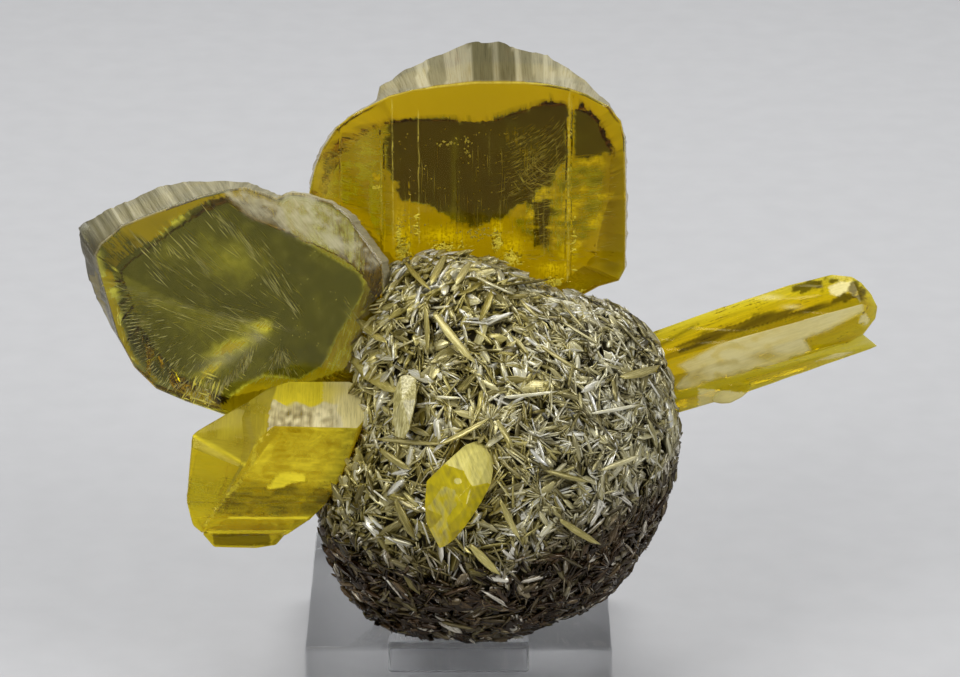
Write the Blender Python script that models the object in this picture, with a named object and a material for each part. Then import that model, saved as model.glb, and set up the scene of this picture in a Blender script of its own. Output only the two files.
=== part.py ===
"""Gypsum specimen: a ball of small gypsum blades with large clear yellow
crystals grown out of it, nested in a shallow pocket of a clear acrylic block.

The drawing values below are millimetres; meshes are built in metres, +Z up.
The origin is the centre of the block's bottom face.
Front is -Y, right is +X.

Two ways of giving a point are used:
  * world millimetres, for the block and for the two plate crystals;
  * "leaned" millimetres (u, v, w) about the ball's centre, for the ball and
    for the stubby crystals: u to the right, v up along a line that leans back
    by LEAN, and w straight out of the front of the leaned ball.
"""
import math
import random

import bmesh
import bpy
from mathutils import Vector, noise

# ------------------------------------------------------------------ drawing
MM = 0.001
GAP = 0.3                       # clearance between touching pieces

# clear block (three inch stock, three quarters of an inch thick)
BLOCK_W = 76.2
BLOCK_D = 76.2
BLOCK_H = 19.0
BLOCK_CHAMFER = 1.2
POCKET_FRONT_Y = -33.6          # front wall of the seat
POCKET_BACK_Y = 1.4             # back wall of the seat
POCKET_FRONT_W = 35.0
POCKET_BACK_W = 29.0            # the seat narrows a little to the back
POCKET_DEPTH = 8.2

# ball of blades
BALL_CENTRE = (9.6, -17.0, 64.2)
LEAN = math.radians(20.0)
BALL_DEPTH_R = 43.0             # half depth of the ball, front to back
# half girth every 15 degrees, from the right over the top to the left
BALL_GIRTH = (46, 46.5, 48.5, 47.5, 44, 42.5, 47, 51, 53, 48, 43, 38.5,
              40, 47, 50, 53, 53.5, 50, 49, 46.5, 47, 46, 45, 45)
BALL_ROUGH = 1.2                # how deep the blades' gaps go in from the tips

# plate crystals: front face in a plane, a raised crest behind it, a smaller
# back face.  Each row is front corner (x, z), crest corner (x, z, depth),
# back corner (x, z).
TOP_ORIGIN = (10.0, 0.0, 100.0)
TOP_TURN = 0.0
TOP_THICK = 15.0
TOP_PLATE = (
    ((-47.0, 25.0), (-47.5, 24.0, 8), (-44.0, 20.0)),
    ((-45.5, 31.5), (-46.5, 30.0, 8), (-42.0, 27.0)),
    ((-43.5, 36.5), (-44.5, 34.5, 8), (-39.5, 31.5)),
    ((-40.0, 42.0), (-41.0, 39.5, 9), (-35.5, 36.0)),
    ((-36.5, 45.0), (-37.0, 42.5, 9), (-31.5, 39.0)),
    ((-30.0, 48.5), (-30.5, 46.5, 9), (-28.0, 40.5)),
    ((-27.0, 50.0), (-29.5, 50.0, 9), (-25.0, 41.0)),
    ((-21.5, 51.5), (-23.5, 54.0, 9), (-19.5, 41.5)),
    ((-15.0, 52.5), (-16.5, 57.5, 9), (-13.5, 41.5)),
    ((-6.0, 53.5), (-6.5, 61.5, 9), (-6.5, 41.0)),
    ((0.5, 53.5), (0.0, 61.5, 9), (-1.0, 41.5)),
    ((6.0, 53.5), (5.5, 59.5, 9), (4.0, 43.5)),
    ((12.0, 53.0), (12.0, 58.0, 9), (10.0, 45.5)),
    ((17.0, 52.0), (18.0, 54.0, 9), (16.5, 45.5)),
    ((21.5, 50.5), (22.5, 50.5, 9), (21.5, 44.5)),
    ((27.0, 47.5), (27.5, 45.5, 9), (24.5, 41.5)),
    ((30.0, 43.5), (30.5, 41.5, 8), (26.0, 37.0)),
    ((31.0, 39.0), (31.8, 36.5, 8), (28.5, 33.0)),
    ((31.5, 23.5), (32.3, 22.0, 8), (28.0, 20.0)),
    ((31.5, 5.0), (32.3, 3.5, 8), (24.0, 6.0)),
    ((30.0, 2.0), (30.8, 0.5, 8), (22.5, 2.0)),
    ((25.0, 0.5), (25.0, -1.0, 8), (19.5, 0.0)),
    ((19.0, -3.0), (19.0, -4.0, 8), (15.0, -3.0)),
    ((0.0, -6.0), (0.0, -6.5, 8), (0.0, -5.0)),
    ((-22.0, -6.0), (-22.0, -6.5, 8), (-20.0, -5.0)),
    ((-30.5, 5.5), (-31.0, 4.5, 8), (-27.0, 5.0)),
    ((-38.5, 16.0), (-39.0, 15.0, 8), (-35.5, 14.0)),
)
LEFT_ORIGIN = (-30.0, -16.0, 84.3)
LEFT_TURN = math.radians(8.0)   # its outer end swings to the back
LEFT_THICK = 13.0
LEFT_PLATE = (
    ((-60.5, 27.0), (-66.0, 32.0, 6), (-56.0, 20.5)),
    ((-59.0, 30.0), (-64.5, 33.0, 8), (-54.5, 22.5)),
    ((-53.5, 35.0), (-58.0, 37.0, 8), (-50.0, 26.0)),
    ((-48.0, 37.5), (-52.5, 39.5, 8), (-45.5, 29.5)),
    ((-41.0, 40.5), (-46.0, 43.0, 8), (-41.0, 33.0)),
    ((-33.5, 43.5), (-38.0, 44.8, 8), (-35.0, 37.0)),
    ((-28.5, 45.0), (-31.5, 45.2, 8), (-28.5, 40.0)),
    ((-22.5, 46.5), (-23.0, 45.4, 8), (-22.5, 36.0)),
    ((-14.5, 44.0), (-14.5, 42.0, 8), (-14.0, 33.0)),
    ((-12.0, 45.5), (-12.0, 43.4, 8), (-10.0, 31.0)),
    ((-8.5, 45.5), (-8.0, 43.0, 8), (-6.5, 30.0)),
    ((-1.0, 43.5), (-1.0, 41.0, 8), (0.0, 27.0)),
    ((3.0, 40.5), (3.5, 38.0, 8), (3.0, 25.0)),
    ((6.0, 36.0), (6.8, 33.5, 8), (5.5, 22.5)),
    ((11.5, 28.5), (12.0, 26.5, 8), (8.0, 18.0)),
    ((12.0, 20.0), (12.5, 18.0, 8), (8.0, 12.0)),
    ((10.0, 8.0), (10.5, 7.0, 8), (5.0, 5.0)),
    ((7.0, -3.0), (7.4, -3.6, 8), (1.0, -3.0)),
    ((-4.0, -9.0), (-4.0, -9.8, 7), (-8.0, -7.0)),
    ((-16.0, -13.5), (-16.0, -14.3, 7), (-19.0, -9.5)),
    ((-27.5, -14.0), (-27.7, -14.8, 7), (-28.5, -12.0)),
    ((-32.0, -12.5), (-32.6, -13.2, 7), (-34.5, -10.0)),
    ((-38.5, -10.5), (-39.5, -11.0, 7), (-42.0, -6.5)),
    ((-46.0, -7.5), (-47.0, -7.8, 7), (-48.0, 0.0)),
    ((-51.5, -2.0), (-53.5, -1.5, 6), (-51.5, 6.0)),
    ((-55.5, 6.0), (-59.0, 7.0, 6), (-53.5, 12.0)),
    ((-57.5, 14.0), (-62.5, 15.0, 6), (-55.0, 16.0)),
    ((-59.5, 21.5), (-65.0, 24.5, 6), (-56.0, 19.0)),
)

# stubby crystals: each lump is the convex solid around its corners (u, v, w)
RIGHT_MAIN = (                  # long prism with a rounded end
    (35.5, 27.5, 0), (39.5, 29, 0), (56.5, 35, -1), (73, 40.5, -2),
    (83.5, 43, -3), (88.5, 42.5, -3), (91, 41, -3), (93.5, 38, -3),
    (95, 35, -3), (94.5, 32, -3), (93, 30, -3), (91.5, 28, -3),
    (38, 20, 6), (43, 22, 6), (58.5, 26.7, 5.6), (76, 31.6, 5),
    (90.5, 35.5, 3), (39.5, 8, -2), (45, 9.5, -2), (61, 14.5, -3),
    (77, 20, -4), (38.5, 18.5, -8), (59.5, 25, -9), (77, 30.5, -9.5),
    (88.5, 34.5, -8),
)
RIGHT_UNDER = (                 # thin blade under it, its tip runs on
    (95.5, 25, -4), (91.5, 28.5, -6), (76, 24.5, -7), (45.5, 16.5, -6),
    (45, 8.3, -1), (38.5, 7, -1), (38.5, 11, 3), (60.5, 16, 1.5),
    (80.5, 22.5, 0), (77, 19, -3), (48, 12.5, 3), (61, 13, -1.5),
)
RIGHT_FLAP = (                  # small lens along the lower edge
    (53, 11.3, 1), (55.5, 10.8, 2), (58, 11, 2.5), (61, 12.5, 2.5),
    (63.5, 14.8, 2), (63, 17, -1), (54.5, 15.5, -1), (58, 16, 4),
    (58, 11, -1),
)
SMALL_BLOCK = (                 # outer twin of the small left group
    (-75, 3.5, 14), (-71, 6, 10), (-61.5, 11.5, 9), (-58, 12.5, 8.5),
    (-53.5, 8.5, 13), (-59, 1.5, 18), (-62, -4.5, 20), (-75, 0.5, 15),
    (-76.5, -13, 12), (-75, -19, 12), (-72.5, -21, 13), (-66, -11.5, 18),
    (-71.5, 4.5, 6), (-75, -13, 4), (-72, -19, 6), (-56.5, 9, 7),
    (-61.5, -13, 4),
)
SMALL_PRISM = (                 # inner twin, a stepped prism
    (-61.5, 11.5, 12), (-57, 14.5, 9), (-51.5, 16.5, 9), (-36.5, 16.5, 9),
    (-34, 15.5, 10), (-32.5, 13, 13), (-32, 7.5, 20), (-34, 5, 22.5),
    (-54.5, 5.5, 23), (-34.8, 2.5, 22), (-36, -2, 21), (-38.5, -7.5, 19),
    (-42, -13.5, 17), (-46, -17.5, 16), (-52, -21.5, 13), (-70, -22, 12),
    (-72.5, -20, 13), (-66, -11, 19), (-62, -4.5, 21.5), (-59, 1.5, 22.5),
    (-66.5, -13, 2), (-49, -13, 0), (-39, -0.5, 2), (-36.5, 12, 6.5),
    (-54, 12, 6.5), (-61.5, 4.5, 5),
)
SMALL_FOOT = (                  # lowest step of the inner twin
    (-73, -21, 9.5), (-70, -24.5, 9), (-59.5, -24.8, 9), (-54.5, -24, 9),
    (-51.5, -20.5, 11.5), (-70, -20.5, 11.5), (-68, -23, 3),
    (-56, -22.5, 3), (-53, -18, 4), (-70, -18, 4),
)
FRONT_CRYSTAL = (
    (-17, -7, 45), (-15.5, -5.5, 45), (-12.5, -2.5, 44), (-7.5, 2, 42),
    (-3.5, 2.5, 40), (0, 1, 38), (-1, -5.5, 42), (-2, -8, 44),
    (-3.5, -11, 46), (-5, -14.5, 46), (-7.5, -18, 45), (-9.5, -21, 44),
    (-11.5, -22.5, 43), (-14, -23, 43), (-15.5, -21, 43), (-17, -17.5, 43),
    (-17.5, -13, 44), (-6.5, -7.5, 53), (-7.5, -12.5, 53), (-8.5, -4, 51),
    (-13, -3, 47), (-5, -8, 52), (-13.5, -19.5, 48), (-10, -11, 52.5),
    (-6.5, -0.5, 47), (-12, -8, 32), (-5, -6, 32), (-8, -15, 33),
)
TABLET = (                      # upright pearly tablet on the ball's front
    (-25, 14, 37), (-23.5, 18, 37), (-21.5, 18.5, 37), (-19.5, 17.5, 39),
    (-19.5, 12.5, 41.5), (-21, 5.5, 43), (-22.5, 3, 42.5), (-24.5, 3.5, 41),
    (-25.2, 8.5, 40), (-23, 12, 43), (-22, 17, 30), (-22, 5, 33),
    (-20, 12, 31), (-24.5, 10, 31),
)

C = Vector(BALL_CENTRE)
RIGHT = Vector((1, 0, 0))
UP = Vector((0, math.sin(LEAN), math.cos(LEAN)))
OUT = Vector((0, -math.cos(LEAN), math.sin(LEAN)))


def leaned(p):
    """A leaned (u, v, w) point in world millimetres."""
    return C + RIGHT * p[0] + UP * p[1] + OUT * p[2]


def girth(angle):
    """Half girth of the ball in the leaned plane, smooth between its values."""
    t = (angle / math.tau * len(BALL_GIRTH)) % len(BALL_GIRTH)
    i = int(t)
    f = t - i
    n = len(BALL_GIRTH)
    a, b, c, d = (BALL_GIRTH[(i + k) % n] for k in (-1, 0, 1, 2))
    return b + 0.5 * f * (c - a + f * (2 * a - 5 * b + 4 * c - d
                                       + f * (3 * (b - c) + d - a)))


def ball_point(d, inset=0.0):
    """Point of the ball's skin in the leaned direction d, inset millimetres
    under the blades' tips."""
    flat = math.hypot(d[0], d[1])
    g = girth(math.atan2(d[1], d[0]))
    g = BALL_DEPTH_R + (g - BALL_DEPTH_R) * min(1.0, flat * 1.4)
    r = 1.0 / math.sqrt((flat / g) ** 2 + (d[2] / BALL_DEPTH_R) ** 2)
    return leaned((d[0] * (r - inset), d[1] * (r - inset), d[2] * (r - inset)))


# ------------------------------------------------------------------ helpers
def clear_scene():
    for ob in list(bpy.data.objects):
        bpy.data.objects.remove(ob, do_unlink=True)
    for me in list(bpy.data.meshes):
        bpy.data.meshes.remove(me)


def material(name, colour, roughness, metallic=0.0, alpha=1.0):
    m = bpy.data.materials.new(name)
    m.use_nodes = True
    b = m.node_tree.nodes["Principled BSDF"]
    b.inputs["Base Color"].default_value = (*colour, 1.0)
    b.inputs["Roughness"].default_value = roughness
    b.inputs["Metallic"].default_value = metallic
    b.inputs["Alpha"].default_value = alpha
    m.diffuse_color = (*colour, 1.0)
    return m


def to_object(name, bm, mat=None, cutter=False):
    """Turn a bmesh drawn in millimetres into a named object in metres."""
    for v in bm.verts:
        v.co *= MM
    bmesh.ops.recalc_face_normals(bm, faces=bm.faces)
    me = bpy.data.meshes.new(name)
    bm.to_mesh(me)
    bm.free()
    ob = bpy.data.objects.new(name, me)
    bpy.context.scene.collection.objects.link(ob)
    if mat:
        me.materials.append(mat)
    if cutter:
        ob.hide_render = True
        ob.display_type = "WIRE"
    return ob


def boolean(ob, other, operation):
    m = ob.modifiers.new(operation.lower() + "_" + other.name, "BOOLEAN")
    m.operation = operation
    m.solver = "EXACT"
    m.object = other
    return m


def hull(points):
    """The convex solid around leaned points."""
    bm = bmesh.new()
    for p in points:
        bm.verts.new(leaned(p))
    out = bmesh.ops.convex_hull(bm, input=bm.verts)
    loose = [g for g in out["geom_interior"] if isinstance(g, bmesh.types.BMVert)]
    bmesh.ops.delete(bm, geom=loose, context="VERTS")
    bmesh.ops.dissolve_limit(bm, angle_limit=math.radians(1.0),
                             verts=bm.verts, edges=bm.edges)
    bmesh.ops.triangulate(bm, faces=bm.faces, ngon_method="EAR_CLIP")
    return bm


def plate(rows, origin, turn, thick):
    """A tabular crystal: front face, crest ring and back face."""
    o = Vector(origin)
    ux = Vector((math.cos(turn), -math.sin(turn), 0))
    back = Vector((math.sin(turn), math.cos(turn), 0))
    bm = bmesh.new()
    rings = [[], [], []]
    for front, crest, rear in rows:
        for ring, (x, z, d) in zip(rings, ((*front, 0.0), crest, (*rear, thick))):
            ring.append(bm.verts.new(o + ux * x + Vector((0, 0, z)) + back * d))
    n = len(rows)
    for ring in (rings[0], rings[2]):      # flat faces, fanned from the middle
        hub = bm.verts.new(sum((v.co for v in ring), Vector()) / n)
        for i in range(n):
            bm.faces.new((hub, ring[i], ring[(i + 1) % n]))
    for a, b in ((0, 1), (1, 2)):
        for i in range(n):
            j = (i + 1) % n
            bm.faces.new((rings[a][i], rings[b][i], rings[b][j], rings[a][j]))
    bmesh.ops.triangulate(bm, faces=bm.faces, ngon_method="EAR_CLIP")
    return bm


def block(grow=0.0):
    """The clear block with its seat; a grown copy is used as a clearance."""
    w, d, h = BLOCK_W / 2 + grow, BLOCK_D / 2 + grow, BLOCK_H + grow
    bm = bmesh.new()
    outer = [bm.verts.new((x, y, -grow)) for x, y in ((-w, -d), (w, -d), (w, d), (-w, d))]
    top = [bm.verts.new((v.co.x, v.co.y, h)) for v in outer]
    fw, bw = POCKET_FRONT_W / 2 - grow, POCKET_BACK_W / 2 - grow
    fy, by = POCKET_FRONT_Y + grow, POCKET_BACK_Y - grow
    floor_z = BLOCK_H - POCKET_DEPTH + grow
    plan = ((-fw, fy), (fw, fy), (bw, by), (-bw, by))
    rim = [bm.verts.new((x, y, h)) for x, y in plan]
    seat = [bm.verts.new((x, y, floor_z)) for x, y in plan]
    bm.faces.new(list(reversed(outer)))
    bm.faces.new(seat)
    for i in range(4):
        j = (i + 1) % 4
        bm.faces.new((outer[i], outer[j], top[j], top[i]))
        bm.faces.new((top[i], top[j], rim[j], rim[i]))
        bm.faces.new((rim[i], rim[j], seat[j], seat[i]))
    return bm


# -------------------------------------------------------------------- pieces
def build_block():
    bm = block()
    ob = to_object("stand_block", bm, material("acrylic", (0.80, 0.82, 0.86), 0.08, 0.0, 0.35))
    bev = ob.modifiers.new("edge_chamfer", "BEVEL")
    bev.width = BLOCK_CHAMFER * MM
    bev.segments = 1
    bev.limit_method = "ANGLE"
    bev.angle_limit = math.radians(40)
    return ob


def build_ball():
    """The ball reaches the tips of its blades; its skin is broken by gaps."""
    rng = random.Random(11)
    bm = bmesh.new()
    bmesh.ops.create_icosphere(bm, subdivisions=5, radius=1.0)
    for v in bm.verts:
        d = v.co.normalized()
        rough = 0.5 + 0.5 * noise.noise(d * 9.0)
        rough = 0.55 * rough + 0.45 * rng.random()
        v.co = ball_point(d, 0.1 + BALL_ROUGH * rough)
    # thin the mesh out to a few thousand facets
    ob = to_object("blade_ball", bm, material("blades", (0.42, 0.38, 0.24), 0.45))
    dec = ob.modifiers.new("thin_out", "DECIMATE")
    dec.ratio = 0.8
    clear = to_object("clearance_block", block(GAP + 0.05), cutter=True)
    boolean(ob, clear, "DIFFERENCE")
    return ob


def ball_clearance():
    bm = bmesh.new()
    bmesh.ops.create_icosphere(bm, subdivisions=4, radius=1.0)
    for v in bm.verts:
        v.co = ball_point(v.co.normalized(), -GAP - 0.1)
    return to_object("clearance_ball", bm, cutter=True)


def main():
    clear_scene()
    build_block()
    build_ball()
    clear = ball_clearance()

    honey = material("honey_crystal", (0.78, 0.62, 0.06), 0.12, 0.0, 0.55)
    olive = material("olive_crystal", (0.55, 0.50, 0.14), 0.12, 0.0, 0.5)
    pearl = material("pearl_crystal", (0.72, 0.66, 0.40), 0.3)

    crystals = [
        to_object("crystal_top", plate(TOP_PLATE, TOP_ORIGIN, TOP_TURN, TOP_THICK), honey),
        to_object("crystal_left_large", plate(LEFT_PLATE, LEFT_ORIGIN, LEFT_TURN, LEFT_THICK), olive),
    ]
    right = to_object("crystal_right", hull(RIGHT_MAIN), honey)
    for name, pts in (("grown_under_blade", RIGHT_UNDER), ("grown_flap", RIGHT_FLAP)):
        boolean(right, to_object(name, hull(pts), honey, cutter=True), "UNION")
    crystals.append(right)

    small = to_object("crystal_left_small", hull(SMALL_PRISM), honey)
    for name, pts in (("grown_block", SMALL_BLOCK), ("grown_foot", SMALL_FOOT)):
        boolean(small, to_object(name, hull(pts), honey, cutter=True), "UNION")
    crystals.append(small)

    crystals.append(to_object("crystal_front_small", hull(FRONT_CRYSTAL), honey))
    crystals.append(to_object("crystal_tablet", hull(TABLET), pearl))

    # every crystal ends where it meets the ball of blades
    for ob in crystals:
        boolean(ob, clear, "DIFFERENCE")


main()
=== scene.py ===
"""Gypsum specimen: the detailed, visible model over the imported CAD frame.

A ball of small gypsum blades carries six clear yellow crystals and sits in the
seat of a clear acrylic block.  The drawing values are millimetres and are the
same as in the CAD source; meshes are built in metres, +Z up, front is -Y.
Two ways of giving a point are used: world millimetres, and "leaned"
millimetres (u, v, w) about the ball's centre, with v up along a line that
leans back by LEAN and w straight out of the front of the leaned ball.
"""
import heapq
import math
import random

import bmesh
import bpy
import numpy as np
from mathutils import Matrix, Vector, geometry, noise
from mathutils.bvhtree import BVHTree


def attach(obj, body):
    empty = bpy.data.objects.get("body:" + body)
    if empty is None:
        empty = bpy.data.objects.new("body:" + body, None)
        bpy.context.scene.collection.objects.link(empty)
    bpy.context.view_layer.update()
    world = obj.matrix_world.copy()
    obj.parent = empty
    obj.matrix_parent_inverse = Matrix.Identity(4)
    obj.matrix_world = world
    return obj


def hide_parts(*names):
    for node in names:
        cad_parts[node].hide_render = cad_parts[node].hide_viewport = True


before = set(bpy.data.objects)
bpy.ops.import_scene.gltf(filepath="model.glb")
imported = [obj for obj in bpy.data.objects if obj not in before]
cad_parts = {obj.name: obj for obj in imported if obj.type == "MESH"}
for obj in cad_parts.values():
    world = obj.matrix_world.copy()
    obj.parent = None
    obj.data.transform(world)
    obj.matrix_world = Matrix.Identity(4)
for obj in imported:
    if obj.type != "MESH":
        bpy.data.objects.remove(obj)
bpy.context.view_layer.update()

MM = 0.001
BODY = "root"

# =================================================================== drawing
BLOCK_W = 76.2
BLOCK_D = 76.2
BLOCK_H = 19.0
POCKET_FRONT_Y = -33.6
POCKET_BACK_Y = 1.4
POCKET_FRONT_W = 35.0
POCKET_BACK_W = 29.0
POCKET_DEPTH = 8.2

BALL_CENTRE = (9.6, -17.0, 64.2)
LEAN = math.radians(20.0)
BALL_DEPTH_R = 43.0
BALL_GIRTH = (46, 46.5, 48.5, 47.5, 44, 42.5, 47, 51, 53, 48, 43, 38.5,
              40, 47, 50, 53, 53.5, 50, 49, 46.5, 47, 46, 45, 45)

# plates: front corner (x, z), crest corner (x, z, depth), back corner (x, z)
TOP_ORIGIN = (10.0, 0.0, 100.0)
TOP_TURN = 0.0
TOP_THICK = 15.0
TOP_PLATE = (
    ((-47.0, 25.0), (-47.5, 24.0, 8), (-44.0, 20.0)),
    ((-45.5, 31.5), (-46.5, 30.0, 8), (-42.0, 27.0)),
    ((-43.5, 36.5), (-44.5, 34.5, 8), (-39.5, 31.5)),
    ((-40.0, 42.0), (-41.0, 39.5, 9), (-35.5, 36.0)),
    ((-36.5, 45.0), (-37.0, 42.5, 9), (-31.5, 39.0)),
    ((-30.0, 48.5), (-30.5, 46.5, 9), (-28.0, 40.5)),
    ((-27.0, 50.0), (-29.5, 50.0, 9), (-25.0, 41.0)),
    ((-21.5, 51.5), (-23.5, 54.0, 9), (-19.5, 41.5)),
    ((-15.0, 52.5), (-16.5, 57.5, 9), (-13.5, 41.5)),
    ((-6.0, 53.5), (-6.5, 61.5, 9), (-6.5, 41.0)),
    ((0.5, 53.5), (0.0, 61.5, 9), (-1.0, 41.5)),
    ((6.0, 53.5), (5.5, 59.5, 9), (4.0, 43.5)),
    ((12.0, 53.0), (12.0, 58.0, 9), (10.0, 45.5)),
    ((17.0, 52.0), (18.0, 54.0, 9), (16.5, 45.5)),
    ((21.5, 50.5), (22.5, 50.5, 9), (21.5, 44.5)),
    ((27.0, 47.5), (27.5, 45.5, 9), (24.5, 41.5)),
    ((30.0, 43.5), (30.5, 41.5, 8), (26.0, 37.0)),
    ((31.0, 39.0), (31.8, 36.5, 8), (28.5, 33.0)),
    ((31.5, 23.5), (32.3, 22.0, 8), (28.0, 20.0)),
    ((31.5, 5.0), (32.3, 3.5, 8), (24.0, 6.0)),
    ((30.0, 2.0), (30.8, 0.5, 8), (22.5, 2.0)),
    ((25.0, 0.5), (25.0, -1.0, 8), (19.5, 0.0)),
    ((19.0, -3.0), (19.0, -4.0, 8), (15.0, -3.0)),
    ((0.0, -6.0), (0.0, -6.5, 8), (0.0, -5.0)),
    ((-22.0, -6.0), (-22.0, -6.5, 8), (-20.0, -5.0)),
    ((-30.5, 5.5), (-31.0, 4.5, 8), (-27.0, 5.0)),
    ((-38.5, 16.0), (-39.0, 15.0, 8), (-35.5, 14.0)),
)
LEFT_ORIGIN = (-30.0, -16.0, 84.3)
LEFT_TURN = math.radians(8.0)
LEFT_THICK = 13.0
LEFT_PLATE = (
    ((-60.5, 27.0), (-66.0, 32.0, 6), (-56.0, 20.5)),
    ((-59.0, 30.0), (-64.5, 33.0, 8), (-54.5, 22.5)),
    ((-53.5, 35.0), (-58.0, 37.0, 8), (-50.0, 26.0)),
    ((-48.0, 37.5), (-52.5, 39.5, 8), (-45.5, 29.5)),
    ((-41.0, 40.5), (-46.0, 43.0, 8), (-41.0, 33.0)),
    ((-33.5, 43.5), (-38.0, 44.8, 8), (-35.0, 37.0)),
    ((-28.5, 45.0), (-31.5, 45.2, 8), (-28.5, 40.0)),
    ((-22.5, 46.5), (-23.0, 45.4, 8), (-22.5, 36.0)),
    ((-14.5, 44.0), (-14.5, 42.0, 8), (-14.0, 33.0)),
    ((-12.0, 45.5), (-12.0, 43.4, 8), (-10.0, 31.0)),
    ((-8.5, 45.5), (-8.0, 43.0, 8), (-6.5, 30.0)),
    ((-1.0, 43.5), (-1.0, 41.0, 8), (0.0, 27.0)),
    ((3.0, 40.5), (3.5, 38.0, 8), (3.0, 25.0)),
    ((6.0, 36.0), (6.8, 33.5, 8), (5.5, 22.5)),
    ((11.5, 28.5), (12.0, 26.5, 8), (8.0, 18.0)),
    ((12.0, 20.0), (12.5, 18.0, 8), (8.0, 12.0)),
    ((10.0, 8.0), (10.5, 7.0, 8), (5.0, 5.0)),
    ((7.0, -3.0), (7.4, -3.6, 8), (1.0, -3.0)),
    ((-4.0, -9.0), (-4.0, -9.8, 7), (-8.0, -7.0)),
    ((-16.0, -13.5), (-16.0, -14.3, 7), (-19.0, -9.5)),
    ((-27.5, -14.0), (-27.7, -14.8, 7), (-28.5, -12.0)),
    ((-32.0, -12.5), (-32.6, -13.2, 7), (-34.5, -10.0)),
    ((-38.5, -10.5), (-39.5, -11.0, 7), (-42.0, -6.5)),
    ((-46.0, -7.5), (-47.0, -7.8, 7), (-48.0, 0.0)),
    ((-51.5, -2.0), (-53.5, -1.5, 6), (-51.5, 6.0)),
    ((-55.5, 6.0), (-59.0, 7.0, 6), (-53.5, 12.0)),
    ((-57.5, 14.0), (-62.5, 15.0, 6), (-55.0, 16.0)),
    ((-59.5, 21.5), (-65.0, 24.5, 6), (-56.0, 19.0)),
)

# stubby crystals: the convex solid around each list of leaned corners
RIGHT_MAIN = (
    (35.5, 27.5, 0), (39.5, 29, 0), (56.5, 35, -1), (73, 40.5, -2),
    (83.5, 43, -3), (88.5, 42.5, -3), (91, 41, -3), (93.5, 38, -3),
    (95, 35, -3), (94.5, 32, -3), (93, 30, -3), (91.5, 28, -3),
    (38, 20, 6), (43, 22, 6), (58.5, 26.7, 5.6), (76, 31.6, 5),
    (90.5, 35.5, 3), (39.5, 8, -2), (45, 9.5, -2), (61, 14.5, -3),
    (77, 20, -4), (38.5, 18.5, -8), (59.5, 25, -9), (77, 30.5, -9.5),
    (88.5, 34.5, -8),
)
RIGHT_UNDER = (
    (95.5, 25, -4), (91.5, 28.5, -6), (76, 24.5, -7), (45.5, 16.5, -6),
    (45, 8.3, -1), (38.5, 7, -1), (38.5, 11, 3), (60.5, 16, 1.5),
    (80.5, 22.5, 0), (77, 19, -3), (48, 12.5, 3), (61, 13, -1.5),
)
RIGHT_FLAP = (
    (53, 11.3, 1), (55.5, 10.8, 2), (58, 11, 2.5), (61, 12.5, 2.5),
    (63.5, 14.8, 2), (63, 17, -1), (54.5, 15.5, -1), (58, 16, 4),
    (58, 11, -1),
)
SMALL_BLOCK = (
    (-75, 3.5, 14), (-71, 6, 10), (-61.5, 11.5, 9), (-58, 12.5, 8.5),
    (-53.5, 8.5, 13), (-59, 1.5, 18), (-62, -4.5, 20), (-75, 0.5, 15),
    (-76.5, -13, 12), (-75, -19, 12), (-72.5, -21, 13), (-66, -11.5, 18),
    (-71.5, 4.5, 6), (-75, -13, 4), (-72, -19, 6), (-56.5, 9, 7),
    (-61.5, -13, 4),
)
SMALL_PRISM = (
    (-61.5, 11.5, 12), (-57, 14.5, 9), (-51.5, 16.5, 9), (-36.5, 16.5, 9),
    (-34, 15.5, 10), (-32.5, 13, 13), (-32, 7.5, 20), (-34, 5, 22.5),
    (-54.5, 5.5, 23), (-34.8, 2.5, 22), (-36, -2, 21), (-38.5, -7.5, 19),
    (-42, -13.5, 17), (-46, -17.5, 16), (-52, -21.5, 13), (-70, -22, 12),
    (-72.5, -20, 13), (-66, -11, 19), (-62, -4.5, 21.5), (-59, 1.5, 22.5),
    (-66.5, -13, 2), (-49, -13, 0), (-39, -0.5, 2), (-36.5, 12, 6.5),
    (-54, 12, 6.5), (-61.5, 4.5, 5),
)
SMALL_FOOT = (
    (-73, -21, 9.5), (-70, -24.5, 9), (-59.5, -24.8, 9), (-54.5, -24, 9),
    (-51.5, -20.5, 11.5), (-70, -20.5, 11.5), (-68, -23, 3),
    (-56, -22.5, 3), (-53, -18, 4), (-70, -18, 4),
)
FRONT_CRYSTAL = (
    (-17, -7, 45), (-15.5, -5.5, 45), (-12.7, -2.8, 44), (-7.7, 1.7, 42),
    (-5.0, 2.6, 40), (-0.3, 1.9, 38), (-0.7, -2.0, 40), (-1.6, -7.4, 44),
    (-3.8, -11.7, 46), (-5.7, -14.7, 46), (-8.0, -18, 45), (-10.5, -21, 44),
    (-12.5, -22.5, 43), (-13.9, -23.1, 43), (-15.2, -20.5, 43), (-17, -17.2, 43),
    (-17.5, -13, 44), (-6.5, -7.5, 53), (-7.5, -12.5, 53), (-8.5, -4, 51),
    (-13, -3, 47), (-5, -8, 52), (-13.5, -19.5, 48), (-10, -11, 52.5),
    (-6.5, -0.5, 47), (-12, -8, 32), (-5, -6, 32), (-8, -15, 33),
)
TABLET = (
    (-25, 14, 37), (-23.5, 18, 37), (-21.5, 18.5, 37), (-19.5, 17.5, 39),
    (-19.5, 12.5, 41.5), (-21, 5.5, 43), (-22.5, 3, 42.5), (-24.5, 3.5, 41),
    (-25.2, 8.5, 40), (-23, 12, 43), (-22, 17, 30), (-22, 5, 33),
    (-20, 12, 31), (-24.5, 10, 31),
)

C = Vector(BALL_CENTRE)
RIGHT = Vector((1, 0, 0))
UP = Vector((0, math.sin(LEAN), math.cos(LEAN)))
OUT = Vector((0, -math.cos(LEAN), math.sin(LEAN)))


def leaned(p):
    """A leaned (u, v, w) point in world millimetres."""
    return C + RIGHT * p[0] + UP * p[1] + OUT * p[2]


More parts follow.
